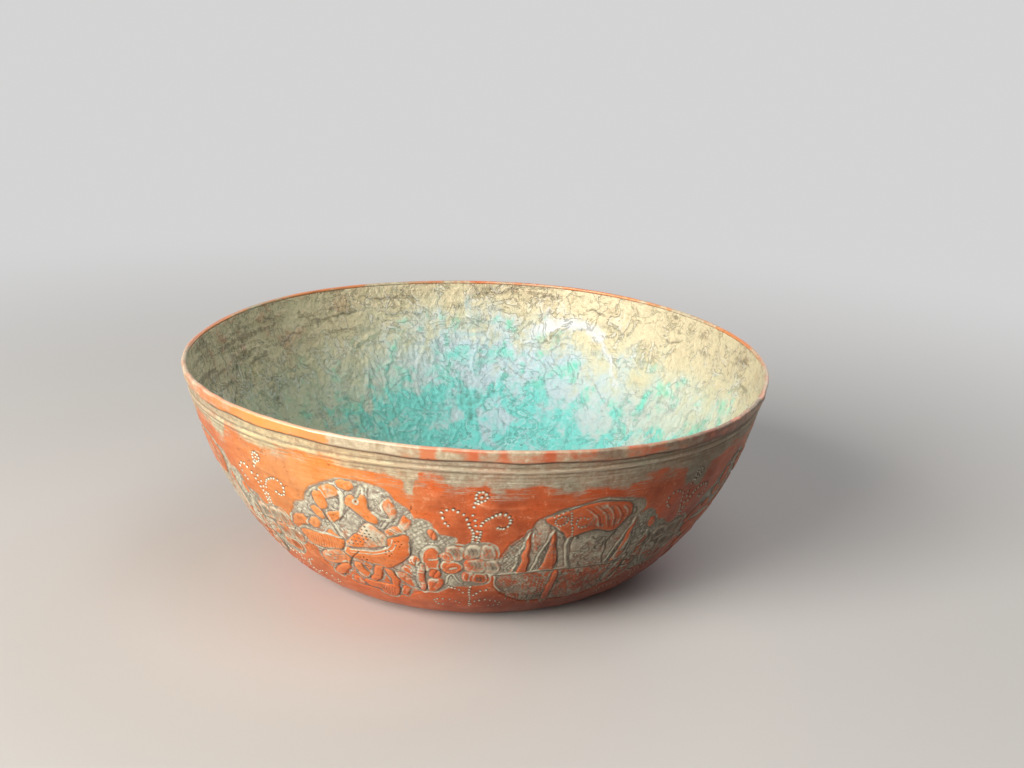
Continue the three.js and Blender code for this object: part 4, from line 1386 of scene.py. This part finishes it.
def tinMaterial():
    material, w, shader = newMaterial("old_tin")
    place = w.node("TexCoord", out="Object")
    flat = place.scaled(1, 1, 6)
    tall = place.scaled(1, 1, 0.4)
    up, tideLine, high, cut = w.attributes("up", "tide", "high", "cut")
    grimeAndShade, score, dull, ridgeSheen = w.attributes("grimeAndShade", "scored", "dulledAndShaded", "ridgeSheen")
    chalk = w.attribute("chalky")
    broad, patchy = w.noise(place, 26, 3), w.noise(place, 85, 4, 0.6, 0.5)
    mottle, fine = w.noise(place, 210, 3, 0.6, 0.6), w.noise(place, 560, 3, 0.7)
    streaks, runs = w.noise(flat, 45, 4, 0.62), w.noise(tall, 120, 4, 0.6, 0.4)
    cracked = w.noise(place, 95, 4, 0.65, 0.8)

    # tin gone dull: cream, olive where it is dirtier and where painted shade is laid, with dark scratches
    # round the upper wall
    dim = (patchy * 0.8 + streaks * 0.9 + mottle * 0.5 + fine * 0.3 - 1.15 + dull * 0.5).step(0.0, 0.85)
    tin = dim.mix(lining["tin"], lining["tinDull"])
    tin = ((broad * 1.5 + streaks * 0.5 - 0.95).step(0.1, 0.5) * 0.7).mix(tin, lining["tinWarm"])
    tin = ((fine * 0.9 + mottle * 0.5).step(0.66, 1.0) * 0.45).mix(tin, lining["tinDull"])
    scratches = (streaks * 1.1 + fine * 0.5 + dull * 0.14).step(0.9, 1.08) * up.step(50, 75)
    scratches = (scratches * 0.6).most(score * (mottle + fine * 0.6).step(0.4, 0.9) * 0.9)
    stained = (patchy * 1.2 + mottle * 0.5 - 0.86).step(0.04, 0.28) * dull
    tin = (stained * 0.6).mix(tin, lining["tinStain"])
    tin = (scratches * 0.85).mix(tin, lining["scratch"])

    # verdigris: a pale bloom at its upper edge, then turquoise patches in pale blue salts
    climb = (tideLine + 3 - up) / 30 + (patchy - 0.5) * 1.0 + (runs - 0.5) * 0.7 + (broad - 0.5) * 0.7
    bloom = (climb + (mottle - 0.5) * 0.5).step(-0.45, 0.6)
    salty = (runs * 0.9 + patchy * 0.5 - 0.6 + climb * 0.5).step(-0.05, 0.5) * chalk
    crust = salty.mix(lining["bloom"], lining["salt"])
    colour = (bloom * (0.8 + (fine - 0.5) * 0.5)).mix(tin, crust)
    patches = (patchy * 1.1 + mottle * 0.5 + broad * 0.5 + climb * 0.22 - 0.6).step(0.54, 0.86)
    turquoise = (climb - 0.4 + (runs - 0.5)).step(0.0, 0.9).mix(lining["verdigris"], lining["verdigrisBlue"])
    colour = (stained * (1 - climb.step(0.3, 0.9)) * 0.4).mix(colour, lining["tinStain"])
    colour = (patches * bloom * 0.8).mix(colour, turquoise)
    deep = (mottle * 0.9 + patchy * 0.5 + fine * 0.3).step(0.98, 1.25) * bloom
    colour = (deep * 0.3).mix(colour, lining["verdigrisDeep"])
    # painted highlight: raised lines and what stands out inside turn pale blue-white
    ridgeHighlights = (high * 3.5 + (fine - 0.5) + (patchy - 0.5) * 2.0 - 0.7).step(0.0, 0.9)
    ridgeHighlights = ridgeHighlights * (climb + 0.6).step(0.1, 0.8)
    sheenStreaks = (ridgeSheen * 1.3 + (fine - 0.5) * 0.6 + (mottle - 0.5) * 0.9 - 0.25).step(0.0, 0.9)
    ridgeHighlights = (ridgeHighlights * 0.7).most(sheenStreaks)
    colour = (ridgeHighlights * 0.58).mix(colour, lining["ridge"])

    # dirt and painted shade beside the raised lines, and thin cracks in the crust with a painted highlight
    # along one side
    wrinkle, where = cracked - 0.5, (patchy + mottle * 0.5 + dull * 0.16).step(0.55, 0.85)
    # a painted highlight along one side of each crack
    lit = wrinkle.step(0.008, 0.026) * (1 - wrinkle.step(0.03, 0.055)) * where * (climb + 0.9).step(0.1, 0.9)
    colour = (lit * 0.35).mix(colour, lining["ridge"])
    cracks = (1 - w.maths("ABSOLUTE", wrinkle).step(0.002, 0.022)) * where
    crinkled = w.noise(place, 250, 3, 0.6, 1.2)
    crinkles = 1 - w.maths("ABSOLUTE", crinkled - 0.5).step(0.004, 0.05)
    crinkles = crinkles * (broad + fine * 0.6).step(0.6, 0.95)
    cracks = (cracks * 0.6).most(crinkles * (bloom * 0.1 + 0.15))
    uneven = (fine - 0.5) * 1.2 + (patchy - 0.5) * 1.2 + dull * 0.1
    dirtAndShade = (grimeAndShade * 1.3 + cut * 1.5 - high * (5.5 - bloom * 4) + uneven - 0.45).step(0.1, 1.0)
    colour = (dirtAndShade.most(cracks) * (0.55 - bloom * 0.22 + dull * 0.2)).mix(colour, lining["dirtAndShade"])
    height = fine * 0.7 + patchy * 1.2 + mottle * 1.1 + streaks * 0.4 - cracks * 0.5
    bumpy = w.node("Bump", {}, {"Strength": 0.9, "Distance": 0.0009, "Height": height})
    connect(shader, {
        "Base Color": colour,
        "Metallic": 0.15 - bloom * 0.15,
        "Roughness": 0.5 + bloom * 0.2 + (fine - 0.5) * 0.2,
        "Normal": bumpy,
    })
    return material


# Floor, backdrop and lamps
studio = dict(
    floorSize=6.0,
    floorTone=(0.62, 0.61, 0.60, 1),
    floorShade=(0.15, 0.13, 0.12, 1),  # what the floor throws back on the bowl
    backdrop=(0.66, 0.66, 0.66, 1),
    fadeFrom=0.17,  # metres from the bowl where the floor begins to turn into the backdrop
    fadeTo=0.6,
    worldTone=(1.0, 0.95, 0.90, 1),
    worldStrength=0.09,
    lamps=(
        ("key", (-0.80, -0.90, 0.60), 25.0, 0.8, (1.0, 0.95, 0.87)),
        ("low", (-0.95, -0.70, 0.12), 5.0, 0.5, (1.0, 0.93, 0.84)),
        ("top", (0.35, -0.35, 1.30), 3.0, 0.7, (1.0, 0.98, 0.94)),
        ("back", (0.7, 0.95, 0.8), 5.0, 0.9, (0.94, 0.96, 1.0)),
    ),
)


rayNames = ("Camera", "Glossy", "Transmission")


def seenDirectly(w):  # 1 for the camera, and for what metal reflects of the floor and the backdrop
    direct, glossy, clear = (w.node("LightPath", out="Is " + name + " Ray") for name in rayNames)
    return direct.most(glossy).most(clear)


def makeStudio():
    size = studio["floorSize"]
    mesh = bpy.data.meshes.new("floor")
    corners = [(-size, -size, 0), (size, -size, 0), (size, size, 0), (-size, size, 0)]
    mesh.from_pydata(corners, [], [(0, 1, 2, 3)])
    floor = bpy.data.objects.new("floor", mesh)
    scene.collection.objects.link(floor)
    mesh.materials.append(floorMaterial())
    world = bpy.data.worlds.new("studio")
    scene.world = world
    world.use_nodes = True
    tree = world.node_tree
    tree.nodes.clear()
    w = Wire(tree)
    seen = seenDirectly(w)
    tone = seen.mix(studio["worldTone"], studio["backdrop"])
    strength = seen * (1 - studio["worldStrength"]) + studio["worldStrength"]
    back = w.node("Background", {}, {"Color": tone, "Strength": strength})
    output = tree.nodes.new("ShaderNodeOutputWorld")
    tree.links.new(back.socket, output.inputs["Surface"])
    for lamp in studio["lamps"]:
        addLamp(*lamp)


def floorMaterial():
    material, w, shader = newMaterial("plain_floor")
    seen = seenDirectly(w)
    connect(shader, {"Base Color": seen.mix(studio["floorShade"], studio["floorTone"]), "Roughness": 0.8})
    place = w.node("TexCoord", out="Object")
    away = w.node("VectorMath", {"operation": "LENGTH"}, {0: place}, out="Value")
    fade = away.step(studio["fadeFrom"], studio["fadeTo"]) * seen
    glow = w.node("Emission", {}, {"Color": studio["backdrop"]})
    blended = w.node("MixShader", {}, {0: fade, 1: Wire(w.tree, shader.outputs[0]), 2: glow})
    output = next(node for node in w.tree.nodes if node.type == "OUTPUT_MATERIAL")
    w.tree.links.new(blended.socket, output.inputs["Surface"])
    return material


def addLamp(name, place, power, size, colour):
    data = bpy.data.lights.new(name, "AREA")
    data.energy = power
    data.size = size
    data.color = colour
    lamp = bpy.data.objects.new(name, data)
    scene.collection.objects.link(lamp)
    ahead = (0, 0, 0.04) - np.array(place)
    ahead /= np.linalg.norm(ahead)
    side = np.cross(ahead, (0, 0, 1))
    side /= np.linalg.norm(side)
    stand(lamp, place, side, np.cross(side, ahead), ahead)


makeCamera()
makeStudio()
scene.view_settings.view_transform = "Standard"
print("studio ready")
for piece, node, slot in (
    (makeShell(), "bowl_shell", "copper_sheet"),
    (makeRim(), "rim_band", "copper_rim"),
    (makeLining(), "tin_lining", "tin"),
):
    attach(piece, "root")
    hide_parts(node)
    print(piece.name, len(piece.data.polygons), "faces")
